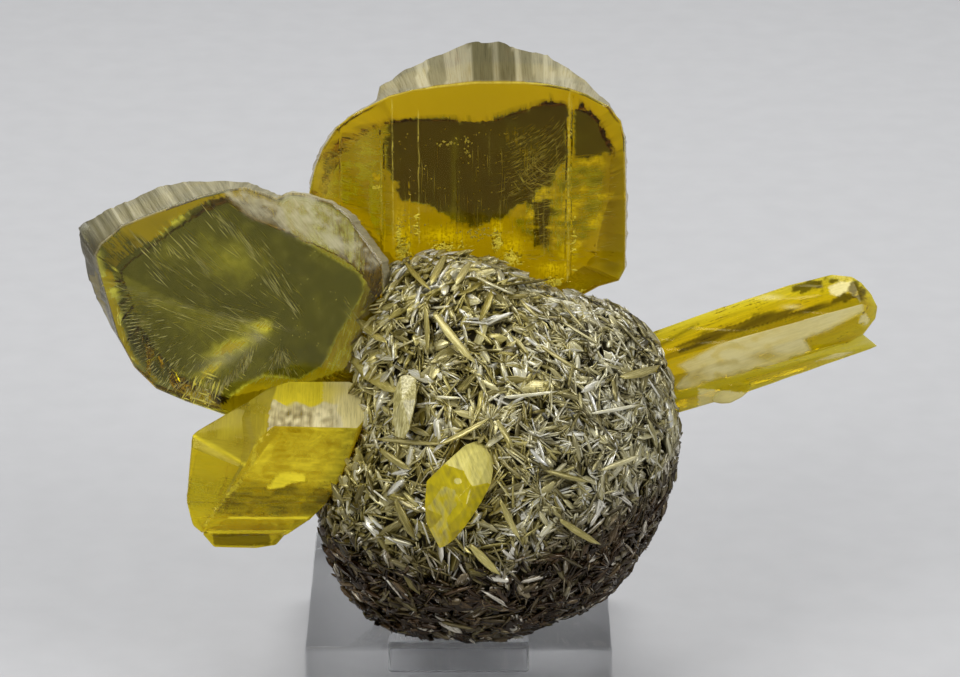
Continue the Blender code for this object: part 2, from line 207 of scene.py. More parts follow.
def unleaned(p):
    """The leaned (u, v, w) of a world point in millimetres."""
    d = Vector(p) - C
    return Vector((d.dot(RIGHT), d.dot(UP), d.dot(OUT)))


def girth(angle):
    """Half girth of the ball in the leaned plane, smooth between its values."""
    t = (angle / math.tau * len(BALL_GIRTH)) % len(BALL_GIRTH)
    i = int(t)
    f = t - i
    n = len(BALL_GIRTH)
    a, b, c, d = (BALL_GIRTH[(i + k) % n] for k in (-1, 0, 1, 2))
    return b + 0.5 * f * (c - a + f * (2 * a - 5 * b + 4 * c - d
                                       + f * (3 * (b - c) + d - a)))


def ball_radius(d):
    """Distance from the centre to the blades' tips in the leaned direction d."""
    flat = math.hypot(d[0], d[1])
    g = girth(math.atan2(d[1], d[0]))
    g = BALL_DEPTH_R + (g - BALL_DEPTH_R) * min(1.0, flat * 1.4)
    return 1.0 / math.sqrt((flat / g) ** 2 + (d[2] / BALL_DEPTH_R) ** 2)


def smooth(a, b, x):
    """0 below a, 1 above b, smooth between."""
    t = min(1.0, max(0.0, (x - a) / (b - a)))
    return t * t * (3 - 2 * t)


def spot(x, y, cx, cy, rx, ry):
    """A soft round spot of strength 1."""
    return math.exp(-(((x - cx) / rx) ** 2 + ((y - cy) / ry) ** 2))


# ================================================================= materials
class Tree:
    """A few short words for building a material's nodes."""

    def __init__(self, name):
        self.mat = bpy.data.materials.new(name)
        self.mat.use_nodes = True
        self.nt = self.mat.node_tree
        self.nt.nodes.clear()
        self.out = self.nt.nodes.new("ShaderNodeOutputMaterial")

    def node(self, kind, **inputs):
        n = self.nt.nodes.new(kind)
        for key, value in inputs.items():
            self.put(n.inputs[key.replace("_", " ")], value)
        return n

    def put(self, socket, value):
        if isinstance(value, bpy.types.NodeSocket):
            self.nt.links.new(value, socket)
        elif isinstance(value, (tuple, list)) and len(value) == 3 \
                and socket.type == "RGBA":
            socket.default_value = (*value, 1.0)
        else:
            socket.default_value = value

    def attribute(self, name):
        n = self.node("ShaderNodeAttribute")
        n.attribute_name = name
        return n

    def split(self, colour):
        return self.node("ShaderNodeSeparateColor", Color=colour).outputs

    def maths(self, operation, a, b=0.0, clamp=False):
        n = self.nt.nodes.new("ShaderNodeMath")
        n.operation = operation
        n.use_clamp = clamp
        self.put(n.inputs[0], a)
        self.put(n.inputs[1], b)
        return n.outputs[0]

    def stretch(self, vector, scale, turn=0.0):
        n = self.nt.nodes.new("ShaderNodeMapping")
        self.put(n.inputs["Vector"], vector)
        n.inputs["Scale"].default_value = scale
        n.inputs["Rotation"].default_value = (0, 0, turn)
        return n.outputs[0]

    def noise(self, vector, scale, detail=3.0, rough=0.55):
        n = self.node("ShaderNodeTexNoise", Scale=scale, Detail=detail,
                      Roughness=rough)
        self.put(n.inputs["Vector"], vector)
        return n.outputs["Fac"]

    def ramp(self, fac, stops, mode="LINEAR"):
        n = self.node("ShaderNodeValToRGB", Fac=fac)
        n.color_ramp.interpolation = mode
        while len(n.color_ramp.elements) > 1:
            n.color_ramp.elements.remove(n.color_ramp.elements[-1])
        n.color_ramp.elements[0].position = stops[0][0]
        for i, (pos, col) in enumerate(stops):
            e = n.color_ramp.elements[0] if i == 0 else n.color_ramp.elements.new(pos)
            e.color = (*col, 1.0) if len(col) == 3 else col
        return n.outputs["Color"]

    def grey_ramp(self, fac, *stops):
        return self.ramp(fac, [(p, (v, v, v)) for p, v in stops])

    def blend(self, fac, a, b):
        n = self.node("ShaderNodeMix")
        n.data_type = "RGBA"
        self.put(n.inputs["Factor"], fac)
        self.put(n.inputs[6], a)
        self.put(n.inputs[7], b)
        return n.outputs[2]

    def mix(self, fac, a, b):
        n = self.nt.nodes.new("ShaderNodeMixShader")
        self.put(n.inputs[0], fac)
        self.nt.links.new(a, n.inputs[1])
        self.nt.links.new(b, n.inputs[2])
        return n.outputs[0]

    def bump(self, height, strength, distance):
        return self.node("ShaderNodeBump", Strength=strength, Distance=distance,
                         Height=height).outputs[0]

    def surface(self, shader):
        self.nt.links.new(shader, self.out.inputs["Surface"])

    def absorb(self, colour, density):
        n = self.nt.nodes.new("ShaderNodeVolumeAbsorption")
        n.inputs["Color"].default_value = (*colour, 1.0)
        n.inputs["Density"].default_value = density
        self.nt.links.new(n.outputs[0], self.out.inputs["Volume"])


def crystal_material(name, tint, density, dark, gold=(0.47, 0.36, 0.02),
                     bright=(1.0, 0.88, 0.12), pearl=(0.50, 0.46, 0.30),
                     haze=(0.80, 0.76, 0.55), rough=0.02, gold_most=0.94, white_most=0.88,
                     haze_low=0.35, fine_bump=0.08, mirror=(0.62, 0.55, 0.24)):
    """Clear yellow gypsum.  The "zone" attribute says where it is pearly
    (red), frosted gold (green), hazy (blue; on frost a painted glow that makes
    the gold brighter) and darkened (alpha: painted shade, a dark tint for the
    darkness seen through it); "grain" runs across (x) and along (y) the growth
    striations, in millimetres."""
    t = Tree(name)
    attribute = t.attribute("zone")
    zone = t.split(attribute.outputs["Color"])
    grain = t.attribute("grain").outputs["Vector"]
    fine = t.noise(t.stretch(grain, (2.2, 0.15, 1)), 1.0, 4.0, 0.65)
    broad = t.noise(t.stretch(grain, (0.60, 0.05, 1)), 1.0, 2.0)
    cloud = t.noise(t.stretch(grain, (0.26, 0.14, 1)), 1.0, 4.0, 0.6)
    speck = t.noise(t.stretch(grain, (1.1, 1.1, 1)), 1.0, 3.0, 0.7)

    def about(noise_out, much):
        return t.maths("MULTIPLY", t.maths("SUBTRACT", noise_out, 0.5), much)

    pearly = t.maths("MULTIPLY", zone["Red"],
                     t.grey_ramp(fine, (0.34, 0.60), (0.47, 0.88), (0.58, 1.0)))
    both = t.maths("ADD", t.maths("MULTIPLY", fine, 0.4), t.maths("MULTIPLY", cloud, 0.6))
    hazy = t.maths("MULTIPLY", zone["Blue"],
                   t.grey_ramp(both, (0.36, haze_low), (0.58, 1.0)))
    white = t.maths("MULTIPLY", t.maths("MAXIMUM", pearly, hazy), white_most, clamp=True)

    edge = t.maths("ADD", zone["Green"], t.maths("ADD", about(fine, 0.9), about(cloud, 0.6)))
    edge = t.maths("ADD", edge, about(speck, 0.5))
    frost = t.maths("MULTIPLY", t.grey_ramp(edge, (0.42, 0.0), (0.58, 1.0)),
                    t.maths("MAXIMUM", t.grey_ramp(broad, (0.34, 0.70), (0.60, 1.0)),
                            t.grey_ramp(zone["Green"], (0.75, 0.0), (0.90, 1.0))))
    frost = t.maths("MULTIPLY", frost, gold_most, clamp=True)

    # Painted shade: where alpha is set, the glass, the milky diffuse and the translucent back are all
    # darkened, standing for the darkness seen through the crystal.
    painted_dark_mix = t.maths("MULTIPLY", attribute.outputs["Alpha"],
                    t.grey_ramp(t.maths("ADD", both, about(speck, 0.08)),
                                (0.36, 1.0), (0.50, 0.96), (0.66, 0.88)), clamp=True)
    painted_dark_mix = t.maths("SUBTRACT", 1.0, t.maths(
        "POWER", t.maths("SUBTRACT", 1.0, painted_dark_mix, clamp=True), 2.5), clamp=True)

    glass = t.node("ShaderNodeBsdfPrincipled", Roughness=rough, IOR=1.525,
                   Transmission_Weight=1.0, Specular_Tint=(*mirror, 1.0),
                   Base_Color=t.blend(painted_dark_mix, (1.0, 0.995, 0.97), dark))
    calm = t.bump(fine, fine_bump, 0.0001)
    strong = t.bump(t.maths("ADD", fine, t.maths("MULTIPLY", broad, 1.5)), 0.5, 0.0004)
    turn = t.node("ShaderNodeMix")
    turn.data_type = "VECTOR"
    t.put(turn.inputs[0], zone["Red"])
    t.put(turn.inputs[4], calm)
    t.put(turn.inputs[5], strong)
    t.put(glass.inputs["Normal"], turn.outputs[1])
    milk = t.node("ShaderNodeBsdfDiffuse", Color=t.blend(
        attribute.outputs["Alpha"],
        t.blend(t.grey_ramp(t.maths("ADD", t.maths("SUBTRACT", zone["Blue"], zone["Red"]), 0.5),
                            (0.42, 0.0), (0.54, 1.0)), pearl, haze),
        (0.15, 0.13, 0.05)))
    t.put(milk.inputs["Normal"], turn.outputs[1])
    # Painted glow: where blue is set on the frosted back, its translucent gold is painted brighter.
    grit = t.grey_ramp(t.maths("ADD", t.maths("MULTIPLY", speck, 0.6),
                               t.maths("MULTIPLY", fine, 0.4)), (0.44, 0.15), (0.52, 1.0))
    shine = t.blend(t.maths("MULTIPLY", zone["Blue"], grit), gold, bright)
    through = t.node("ShaderNodeBsdfTranslucent", Color=t.blend(
        attribute.outputs["Alpha"], shine, tuple(c * 0.42 for c in gold)))
    t.surface(t.mix(frost, t.mix(white, glass.outputs[0], milk.outputs[0]),
                    through.outputs[0]))
    t.absorb(tint, density)
    return t.mat


def streak_material(name, colour, solid=0.75):
    """Fine cleavage cracks and feather strokes sealed in a crystal."""
    t = Tree(name)
    grain = t.attribute("grain").outputs["Vector"]
    vary = t.noise(grain, 0.4, 2.0)
    body = t.node("ShaderNodeBsdfPrincipled", Roughness=0.45, IOR=1.3,
                  Base_Color=t.ramp(vary, [(0.35, tuple(c * 0.75 for c in colour)),
                                           (0.65, colour)]))
    clear = t.node("ShaderNodeBsdfTransparent", Color=(1, 1, 1))
    t.surface(t.mix(t.grey_ramp(vary, (0.3, solid * 0.6), (0.7, solid)),
                    clear.outputs[0], body.outputs[0]))
    return t.mat


def blades_material():
    """Small gypsum blades: tan and olive on the left, more silvery on the
    right, brown, darker and glassier towards the foot of the ball, where the
    darkness is partly a brown tint and partly painted shade.  "tone" is light,
    foot and silver; "lie" runs along (x) and across (y) each blade in mm."""
    t = Tree("gypsum_blades")
    tone = t.split(t.attribute("tone").outputs["Color"])
    lie = t.attribute("lie").outputs["Vector"]
    coord = t.node("ShaderNodeTexCoord").outputs["Object"]
    streak = t.noise(t.stretch(lie, (0.35, 3.2, 1.0)), 1.0, 3.0, 0.65)
    patch = t.noise(coord, 55.0, 3.0, 0.5)
    fac = t.maths("ADD", tone["Red"], t.maths("MULTIPLY", t.maths("SUBTRACT", streak, 0.5), 0.60))
    fac = t.maths("ADD", fac, t.maths("MULTIPLY", t.maths("SUBTRACT", patch, 0.5), 0.35),
                  clamp=True)
    warm = t.ramp(fac, [(0.00, (0.085, 0.066, 0.010)), (0.25, (0.250, 0.200, 0.034)),
                        (0.48, (0.520, 0.435, 0.105)), (0.70, (0.780, 0.690, 0.260)),
                        (0.88, (0.950, 0.900, 0.600)), (1.00, (0.980, 0.960, 0.820))])
    cool = t.ramp(fac, [(0.00, (0.055, 0.045, 0.020)), (0.25, (0.200, 0.172, 0.085)),
                        (0.48, (0.500, 0.460, 0.270)), (0.70, (0.780, 0.740, 0.520)),
                        (0.88, (0.940, 0.920, 0.760)), (1.00, (0.980, 0.970, 0.900))])
    lower = t.ramp(fac, [(0.00, (0.014, 0.006, 0.002)), (0.50, (0.042, 0.020, 0.007)),
                         (0.76, (0.105, 0.058, 0.022)), (0.92, (0.250, 0.175, 0.080)),
                         (1.00, (0.900, 0.840, 0.700))])
    colour = t.blend(tone["Green"], t.blend(tone["Blue"], warm, cool), lower)
    p = t.node("ShaderNodeBsdfPrincipled", IOR=1.5, Coat_Weight=0.55, Metallic=0.34,
               Coat_Roughness=0.05, Base_Color=colour, Specular_Tint=(0.9, 0.82, 0.62, 1.0),
               Roughness=t.grey_ramp(streak, (0.30, 0.10), (0.70, 0.34)))
    t.put(p.inputs["Normal"], t.bump(streak, 0.35, 0.0002))
    glow = t.node("ShaderNodeBsdfTranslucent", Color=colour)
    t.surface(t.mix(0.24, p.outputs[0], glow.outputs[0]))
    return t.mat


def core_material():
    """The ball's inside, showing in the depths between the blades; its dark colour is painted shade of
    those gaps.
    """
    t = Tree("blade_ball_depths")
    coord = t.node("ShaderNodeTexCoord").outputs["Object"]
    n = t.noise(coord, 260.0, 5.0, 0.6)
    p = t.node("ShaderNodeBsdfPrincipled", Roughness=0.6, IOR=1.5,
               Base_Color=t.ramp(n, [(0.35, (0.070, 0.055, 0.022)),
                                     (0.65, (0.200, 0.165, 0.075))]))
    t.put(p.inputs["Normal"], t.bump(n, 0.6, 0.0008))
    t.surface(p.outputs[0])
    return t.mat


def pearl_material():
    """The upright tablet: grey-green gypsum with a pearly striated face."""
    t = Tree("pearly_tablet")
    coord = t.node("ShaderNodeTexCoord").outputs["Object"]
    lines = t.noise(t.stretch(coord, (1700, 1700, 140)), 1.0, 3.0, 0.6)
    p = t.node("ShaderNodeBsdfPrincipled", IOR=1.525, Roughness=0.28,
               Coat_Weight=0.3, Coat_Roughness=0.1,
               Base_Color=t.ramp(lines, [(0.34, (0.24, 0.20, 0.055)),
                                         (0.50, (0.48, 0.42, 0.15)),
                                         (0.66, (0.74, 0.68, 0.36))]))
    t.put(p.inputs["Normal"], t.bump(lines, 0.45, 0.0003))
    t.surface(p.outputs[0])
    return t.mat


def acrylic_material():
    """Clear acrylic with fine wiping scratches."""
    t = Tree("clear_acrylic")
    coord = t.node("ShaderNodeTexCoord").outputs["Object"]
    wipe = t.noise(t.stretch(coord, (60, 900, 900), 0.35), 1.0, 3.0, 0.7)
    dust = t.noise(coord, 2200.0, 2.0, 0.5)
    p = t.node("ShaderNodeBsdfPrincipled", Base_Color=(0.985, 0.99, 1.0), IOR=1.49,
               Transmission_Weight=1.0,
               Roughness=t.grey_ramp(t.maths("ADD", wipe, t.maths("MULTIPLY", dust, 0.3)),
                                     (0.55, 0.015), (0.85, 0.10)))
    t.put(p.inputs["Normal"], t.bump(wipe, 0.04, 0.0001))
    t.surface(p.outputs[0])
    t.absorb((0.93, 0.965, 0.99), 1.2)
    return t.mat


def floor_material():
    t = Tree("pale_floor")
    coord = t.node("ShaderNodeTexCoord").outputs["Object"]
    n = t.noise(coord, 90.0, 3.0, 0.5)
    p = t.node("ShaderNodeBsdfPrincipled", Roughness=0.75,
               Base_Color=t.ramp(n, [(0.3, (0.455, 0.455, 0.46)), (0.7, (0.475, 0.475, 0.48))]))
    t.surface(p.outputs[0])
    return t.mat


# =================================================================== meshes
def piece(ob, slot, *nodes):
    """Puts a finished piece on the specimen and hides the CAD nodes it stands in for; slot is not
    used.
    """
    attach(ob, BODY)
    if nodes:
        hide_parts(*nodes)
    return ob


def add_object(name, me):
    ob = bpy.data.objects.new(name, me)
    bpy.context.scene.collection.objects.link(ob)
    return ob


def put_attribute(me, name, domain, values, kind="FLOAT_COLOR"):
    a = me.attributes.new(name, kind, domain)
    key = "vector" if kind == "FLOAT_VECTOR" else "color"
    a.data.foreach_set(key, np.asarray(values, dtype=np.float32).ravel())


def shade(me, angle):
    """Smooth shading with sharp edges above the angle."""
    me.polygons.foreach_set("use_smooth", [True] * len(me.polygons))
    me.set_sharp_from_angle(angle=math.radians(angle))


def mesh_from(name, verts, faces, material, zone=None, grain=None, angle=18):
    """A closed mesh from millimetre points, with its normals facing out."""
    me = bpy.data.meshes.new(name)
    me.from_pydata([(v[0] * MM, v[1] * MM, v[2] * MM) for v in verts], [], faces)
    if zone is not None:
        put_attribute(me, "zone", "POINT", zone)
    if grain is not None:
        put_attribute(me, "grain", "POINT", grain, "FLOAT_VECTOR")
    bm = bmesh.new()
    bm.from_mesh(me)
    bmesh.ops.recalc_face_normals(bm, faces=bm.faces)
    bm.to_mesh(me)
    bm.free()
    me.materials.append(material)
    shade(me, angle)
    return me


def edge_distance(p, poly):
    """Distance from a 2D point to a closed outline, negative inside."""
    best = 1e9
    inside = False
    n = len(poly)
    x, y = p
    for i in range(n):
        ax, ay = poly[i]
        bx, by = poly[(i + 1) % n]
        dx, dy = bx - ax, by - ay
        t = ((x - ax) * dx + (y - ay) * dy) / max(1e-9, dx * dx + dy * dy)
        t = min(1.0, max(0.0, t))
        best = min(best, math.hypot(x - ax - t * dx, y - ay - t * dy))
        if (ay > y) != (by > y) and x < (bx - ax) * (y - ay) / (by - ay) + ax:
            inside = not inside
    return -best if inside else best


def fill(ring, step, rng, extra=()):
    """Triangles over a closed 2D ring with jittered points inside.  Returns
    the points (the ring's first) and the triangles."""
    xs = [p[0] for p in ring]
    ys = [p[1] for p in ring]
    coarse = ring[::4]
    pts = list(ring)
    y = min(ys) + step / 2
    row = 0
    while y < max(ys):
        x = min(xs) + step * (0.5 if row % 2 else 0.0)
        while x < max(xs):
            q = (x + rng.uniform(-0.2, 0.2) * step, y + rng.uniform(-0.2, 0.2) * step)
            if edge_distance(q, coarse) < -0.7 * step \
                    and all(abs(q[0] - e[0]) > 0.35 * step or abs(q[1] - e[1]) > step
                            for e in extra[::3]):
                pts.append(q)
            x += step
        y += step * 0.87
        row += 1
    pts += [e for e in extra if edge_distance(e, coarse) < -0.5]
    n = len(ring)
    edges = [(i, (i + 1) % n) for i in range(n)]
    out = geometry.delaunay_2d_cdt([Vector(p) for p in pts], edges, [], 1, 1e-5)
    verts, tris, origin = out[0], out[2], out[3]
    return [tuple(v) for v in verts], [tuple(t) for t in tris], origin


class Plate:
    """A tabular crystal with a striated crest, in its own x, z, depth frame."""

    def __init__(self, rows, origin, turn, thick, seed, spacing=0.7):
        self.rows = rows
        self.o = Vector(origin)
        self.ux = Vector((math.cos(turn), -math.sin(turn), 0))
        self.back = Vector((math.sin(turn), math.cos(turn), 0))
        self.thick = thick
        self.rng = random.Random(seed)
        self.seed = seed
        self.dense(spacing)

    def world(self, x, z, d):
        return self.o + self.ux * x + Vector((0, 0, z)) + self.back * d

    def dense(self, spacing):
        """Front, crest and back outlines at close, even spacing."""
        self.F, self.G, self.B, self.s = [], [], [], []
        run = 0.0
        n = len(self.rows)
        for i in range(n):
            (f0, g0, b0), (f1, g1, b1) = self.rows[i], self.rows[(i + 1) % n]
            length = math.hypot(f1[0] - f0[0], f1[1] - f0[1])
            k = max(1, round(max(length, 1.0) / spacing))
            for j in range(k):
                t = j / k
                self.F.append((f0[0] + (f1[0] - f0[0]) * t, f0[1] + (f1[1] - f0[1]) * t))
                self.G.append(tuple(a + (b - a) * t for a, b in zip(g0, g1)))
                self.B.append((b0[0] + (b1[0] - b0[0]) * t, b0[1] + (b1[1] - b0[1]) * t))
                self.s.append(run + length * t)
            run += length
        self.length = run
        n = len(self.F)
        self.normal = []
        for i in range(n):
            a, b = self.F[i - 3], self.F[(i + 3) % n]
            dx, dz = b[0] - a[0], b[1] - a[1]
            m = math.hypot(dx, dz) or 1.0
            self.normal.append((-dz / m, dx / m))
        area = sum(self.F[i - 1][0] * self.F[i][1] - self.F[i][0] * self.F[i - 1][1]
                   for i in range(n))
        if area > 0:                      # outlines run clockwise: flip
            self.normal = [(-a, -b) for a, b in self.normal]
        self.ridges()

    def ridges(self):
        """Stepped growth ridges that run across the crest."""
        cuts = [0.0]
        while cuts[-1] < self.length:
            cuts.append(cuts[-1] + self.rng.choice((0.8, 1.2, 1.8, 2.6, 3.8)))
        slope = [self.rng.uniform(-1, 1) for _ in cuts]
        level = [self.rng.uniform(0, 1) for _ in cuts]
        self.ridge = []
        for s in self.s:
            k = max(i for i, c in enumerate(cuts) if c <= s + 1e-9)
            hi = cuts[k + 1] if k + 1 < len(cuts) else self.length
            t = (s - cuts[k]) / max(1e-6, hi - cuts[k])
            self.ridge.append(0.30 * level[k] + 0.34 * slope[k] * (t - 0.5))

    def build(self, name, material, crest_at, back_at, haze_at, step_depth,
              grain_at, extra_front=(), crest_depth=1.0, back_rough=0.5, front_wave=0.03,
              rim_at=lambda x, z: (0.0, 0.35)):
        """crest_at gives (pearl, darkening), back_at (gold, darkening, glow) and haze_at the
        front's haze at a point; grain_at gives a face's striation coordinates.  The
        darkening is painted shade, for the darkness seen through the plate."""
        n = len(self.F)
        rings = []                         # (t along the profile, points, kind)
        inset = [(f[0] - m[0] * 0.45, f[1] - m[1] * 0.45)
                 for f, m in zip(self.F, self.normal)]
        rings.append([(p[0], p[1], 0.0) for p in inset])
        rings.append([(f[0], f[1], 0.40) for f in self.F])
        crest = (0.08, 0.2, 0.36, 0.52, 0.68, 0.84, 1.0)
        for t in crest:
            ring = []
            for i in range(n):
                f, g, m = self.F[i], self.G[i], self.normal[i]
                w = min(1.0, t * 6.0) * crest_depth
                off = -self.ridge[i] * w
                wob = noise.noise(Vector((self.s[i] * 0.35, t * 2.2, self.seed))) * 0.22 * w
                d = 0.4 + (g[2] - 0.4) * t
                ring.append((f[0] + (g[0] - f[0]) * t + m[0] * (off + wob),
                             f[1] + (g[1] - f[1]) * t + m[1] * (off + wob), d))
            rings.append(ring)
        bevel = (0.12, 0.3, 0.5, 0.7, 0.88, 1.0)
        top = rings[-1]
        for t in bevel:
            ring = []
            for i in range(n):
                g, b, m = top[i], self.B[i], self.normal[i]
                jag = noise.noise(Vector((self.s[i] * 0.8, 7.0 + self.seed, 0))) \
                    + 0.5 * noise.noise(Vector((self.s[i] * 2.3, 3.0, self.seed)))
                off = jag * back_rough * t
                d = g[2] + (self.thick - 0.5 - g[2]) * t
                ring.append((g[0] + (b[0] - g[0]) * t + m[0] * off,
                             g[1] + (b[1] - g[1]) * t + m[1] * off, d))
            rings.append(ring)
        rings.append([(p[0] - m[0] * 0.5, p[1] - m[1] * 0.5, self.thick)
                      for p, m in zip(rings[-1], self.normal)])

        verts, zone, grain, faces = [], [], [], []
        last = len(rings) - 1
        outline = self.F[::4]
        for r, ring in enumerate(rings):
            for i, (x, z, d) in enumerate(ring):
                d += step_depth(x, z) * smooth(4.0, 0.0, d)
                verts.append(self.world(x, z, d))
                # Ring 1, the front edge, gets a haze of 0.6: a painted highlight, a bright line along
                # the chamfer.
                if r < 2:
                    zone.append((0.0, 0.0, (haze_at(x, z), 0.6)[r], 0.0))
                elif r <= 1 + len(crest):
                    R, A = crest_at(x, z, self.s[i])
                    zone.append((R, 0.0, 0.0, A))
                else:
                    inside = smooth(0.9, -0.7, edge_distance((x, z), outline))
                    G, A, B = back_at(x, z, True)
                    rim_gold, rim_painted_dark = rim_at(x, z)
                    zone.append((0.0, G * inside + rim_gold * (1 - inside), B * inside * 0.5,
                                 A * inside + rim_painted_dark * (1 - inside)))
                grain.append((self.s[i], r * 1.4, 0.0))
        for r in range(last):
            for i in range(n):
                j = (i + 1) % n
                faces.append((r * n + i, r * n + j, (r + 1) * n + j, (r + 1) * n + i))
        for ring_at, step, extra, front in ((0, 1.1, extra_front, True),
                                            (last, 0.8, (), False)):
            ring = [(p[0], p[1]) for p in rings[ring_at]]
            pts, tris, origin = fill(ring, step, self.rng, extra)
            where = {}
            for k, p in enumerate(pts):
                own = [o for o in origin[k] if o < n]
                if own:
                    where[k] = ring_at * n + own[0]
                    continue
                x, z = p
                where[k] = len(verts)
                if front:
                    wave = noise.noise(Vector((x * 0.11, z * 0.07, self.seed))) * front_wave * 4
                    verts.append(self.world(x, z, step_depth(x, z) + wave))
                    zone.append((0.0, 0.0, haze_at(x, z), 0.0))
                else:
                    wave = noise.noise(Vector((x * 0.35, z * 0.2, 5 + self.seed))) * 0.25
                    verts.append(self.world(x, z, self.thick - 0.12 + wave))
                    G, A, B = back_at(x, z, False)
                    zone.append((0.0, G, B, A))
                grain.append(grain_at(x, z, front))
            faces += [tuple(where[k] for k in t) for t in tris]
        me = mesh_from(name, verts, faces, material, zone, grain, 20)
        return add_object(name, me)

def slivers(name, plate, strokes, material):
    """Thin closed spindles: strokes are (x, z, depth, angle, length, width)."""
    verts, faces, grain = [], [], []
    for x, z, d, ang, length, width in strokes:
        width = width * 1.15 + 0.03
        a = Vector((math.cos(ang), math.sin(ang)))
        b = Vector((-a.y, a.x))
        k = len(verts)
        for q, dd in (((a * length * 0.5), 0.0), ((-a * length * 0.5), 0.0),
                      ((b * width * 0.5 + a * length * 0.1), 0.0),
                      ((-b * width * 0.5 + a * length * 0.1), 0.0),
                      (a * length * 0.1, width * 0.35), (a * length * 0.1, -width * 0.35)):
            verts.append(plate.world(x + q.x, z + q.y, d + dd))
            grain.append((x, z, 0))
        for u, v, w in ((0, 2, 4), (2, 1, 4), (1, 3, 4), (3, 0, 4),
                        (2, 0, 5), (1, 2, 5), (3, 1, 5), (0, 3, 5)):
            faces.append((k + u, k + v, k + w))
    me = mesh_from(name, verts, faces, material, None, grain, 30)
    return add_object(name, me)


# =========================================================== stubby crystals
def hull_bm(points):
    bm = bmesh.new()
    for p in points:
        bm.verts.new(leaned(p))
    out = bmesh.ops.convex_hull(bm, input=bm.verts)
    loose = [g for g in out["geom_interior"] if isinstance(g, bmesh.types.BMVert)]
    bmesh.ops.delete(bm, geom=loose, context="VERTS")
    bmesh.ops.dissolve_limit(bm, angle_limit=math.radians(2.5),
                             verts=bm.verts, edges=bm.edges)
    return bm


def bevelled(bm, width):
    edges = [e for e in bm.edges if len(e.link_faces) == 2
             and e.calc_face_angle(0.0) > math.radians(9)]
    bmesh.ops.bevel(bm, geom=edges, offset=width, segments=1, affect="EDGES",
                    profile=0.5, clamp_overlap=True)
    return bm


def united(lumps, width):
    """One closed bmesh, in millimetres, of several overlapping convex lumps."""
    obs = []
    for k, pts in enumerate(lumps):
        bm = bevelled(hull_bm(pts), width)
        bmesh.ops.recalc_face_normals(bm, faces=bm.faces)
        me = bpy.data.meshes.new("lump")
        bm.to_mesh(me)
        bm.free()
        obs.append(add_object("lump%d" % k, me))
    first = obs[0]
    for other in obs[1:]:
        m = first.modifiers.new("join", "BOOLEAN")
        m.operation = "UNION"
        m.solver = "EXACT"
        m.object = other
    deps = bpy.context.evaluated_depsgraph_get()
    bm = bmesh.new()
    bm.from_object(first, deps)
    for ob in obs:
        me = ob.data
        bpy.data.objects.remove(ob, do_unlink=True)
        bpy.data.meshes.remove(me)
    bmesh.ops.remove_doubles(bm, verts=bm.verts, dist=0.02)
    return bm


def cut(bm, point, normal):
    """Adds an edge loop where a leaned plane passes through."""
    co = leaned(point)
    no = RIGHT * normal[0] + UP * normal[1] + OUT * normal[2]
    bmesh.ops.bisect_plane(bm, geom=bm.verts[:] + bm.edges[:] + bm.faces[:],
                           plane_co=co, plane_no=no, dist=1e-4)


def refine(bm, longest):
    """Halves every edge above the length, longest first, so that the mesh
    stays closed and has no flat triangles."""
    bmesh.ops.dissolve_degenerate(bm, dist=0.004, edges=bm.edges)
    bmesh.ops.triangulate(bm, faces=bm.faces)
    heap = [(-e.calc_length(), k, e) for k, e in enumerate(bm.edges)
            if e.calc_length() > longest]
    k = len(bm.edges)
    heapq.heapify(heap)
    while heap:
        _, _, e = heapq.heappop(heap)
        faces = list(e.link_faces)
        other, middle = bmesh.utils.edge_split(e, e.verts[0], 0.5)
        fresh = [e, other]
        for f in faces:
            ring = list(f.verts)
            across = ring[(ring.index(middle) + 2) % 4]
            fresh.append(bmesh.utils.face_split(f, middle, across)[1].edge)
        for q in fresh:
            far = q.calc_length()
            if far > longest:
                heapq.heappush(heap, (-far, k, q))
                k += 1


def stubby(name, lumps, material, zones, bevel=0.3, longest=1.6, cuts=(), shift=None,
           grain_at=lambda p, n: (p.x, p.y, p.z), wave=0.03, angle=16):
    """A blocky crystal.  zones(p, n) gives (pearl, gold, haze, darkening) of a facet
    point, the darkening being painted shade seen through it; shift(p, n) moves
    a point along its facet's normal."""
    bm = united(lumps, bevel)
    for point, normal in cuts:
        for off in (-0.5, -0.14, 0.14, 0.5):
            q = tuple(c + off * m for c, m in zip(point, normal))
            cut(bm, q, normal)
    refine(bm, longest)
    bmesh.ops.recalc_face_normals(bm, faces=bm.faces)
    bm.normal_update()
    moved = {}
    for v in bm.verts:
        p = unleaned(v.co)
        n = Vector((v.normal.dot(RIGHT), v.normal.dot(UP), v.normal.dot(OUT)))
        w = noise.noise(Vector(p) * 0.16) * wave
        if shift:
            w += shift(p, n)
        moved[v] = v.co + v.normal * w
    for v, co in moved.items():
        v.co = co
    me = bpy.data.meshes.new(name)
    zone, grain = [], []
    for f in bm.faces:
        n = Vector((f.normal.dot(RIGHT), f.normal.dot(UP), f.normal.dot(OUT)))
        for loop in f.loops:
            p = unleaned(loop.vert.co)
            zone.append(zones(p, n))
            grain.append(grain_at(p, n))
    for v in bm.verts:
        v.co *= MM
    bm.to_mesh(me)
    bm.free()
    put_attribute(me, "zone", "CORNER", zone)
    put_attribute(me, "grain", "CORNER", grain, "FLOAT_VECTOR")
    me.materials.append(material)
    shade(me, angle)
    return add_object(name, me)


# ==================================================================== plates
def no_step(x, z):
    return 0.0


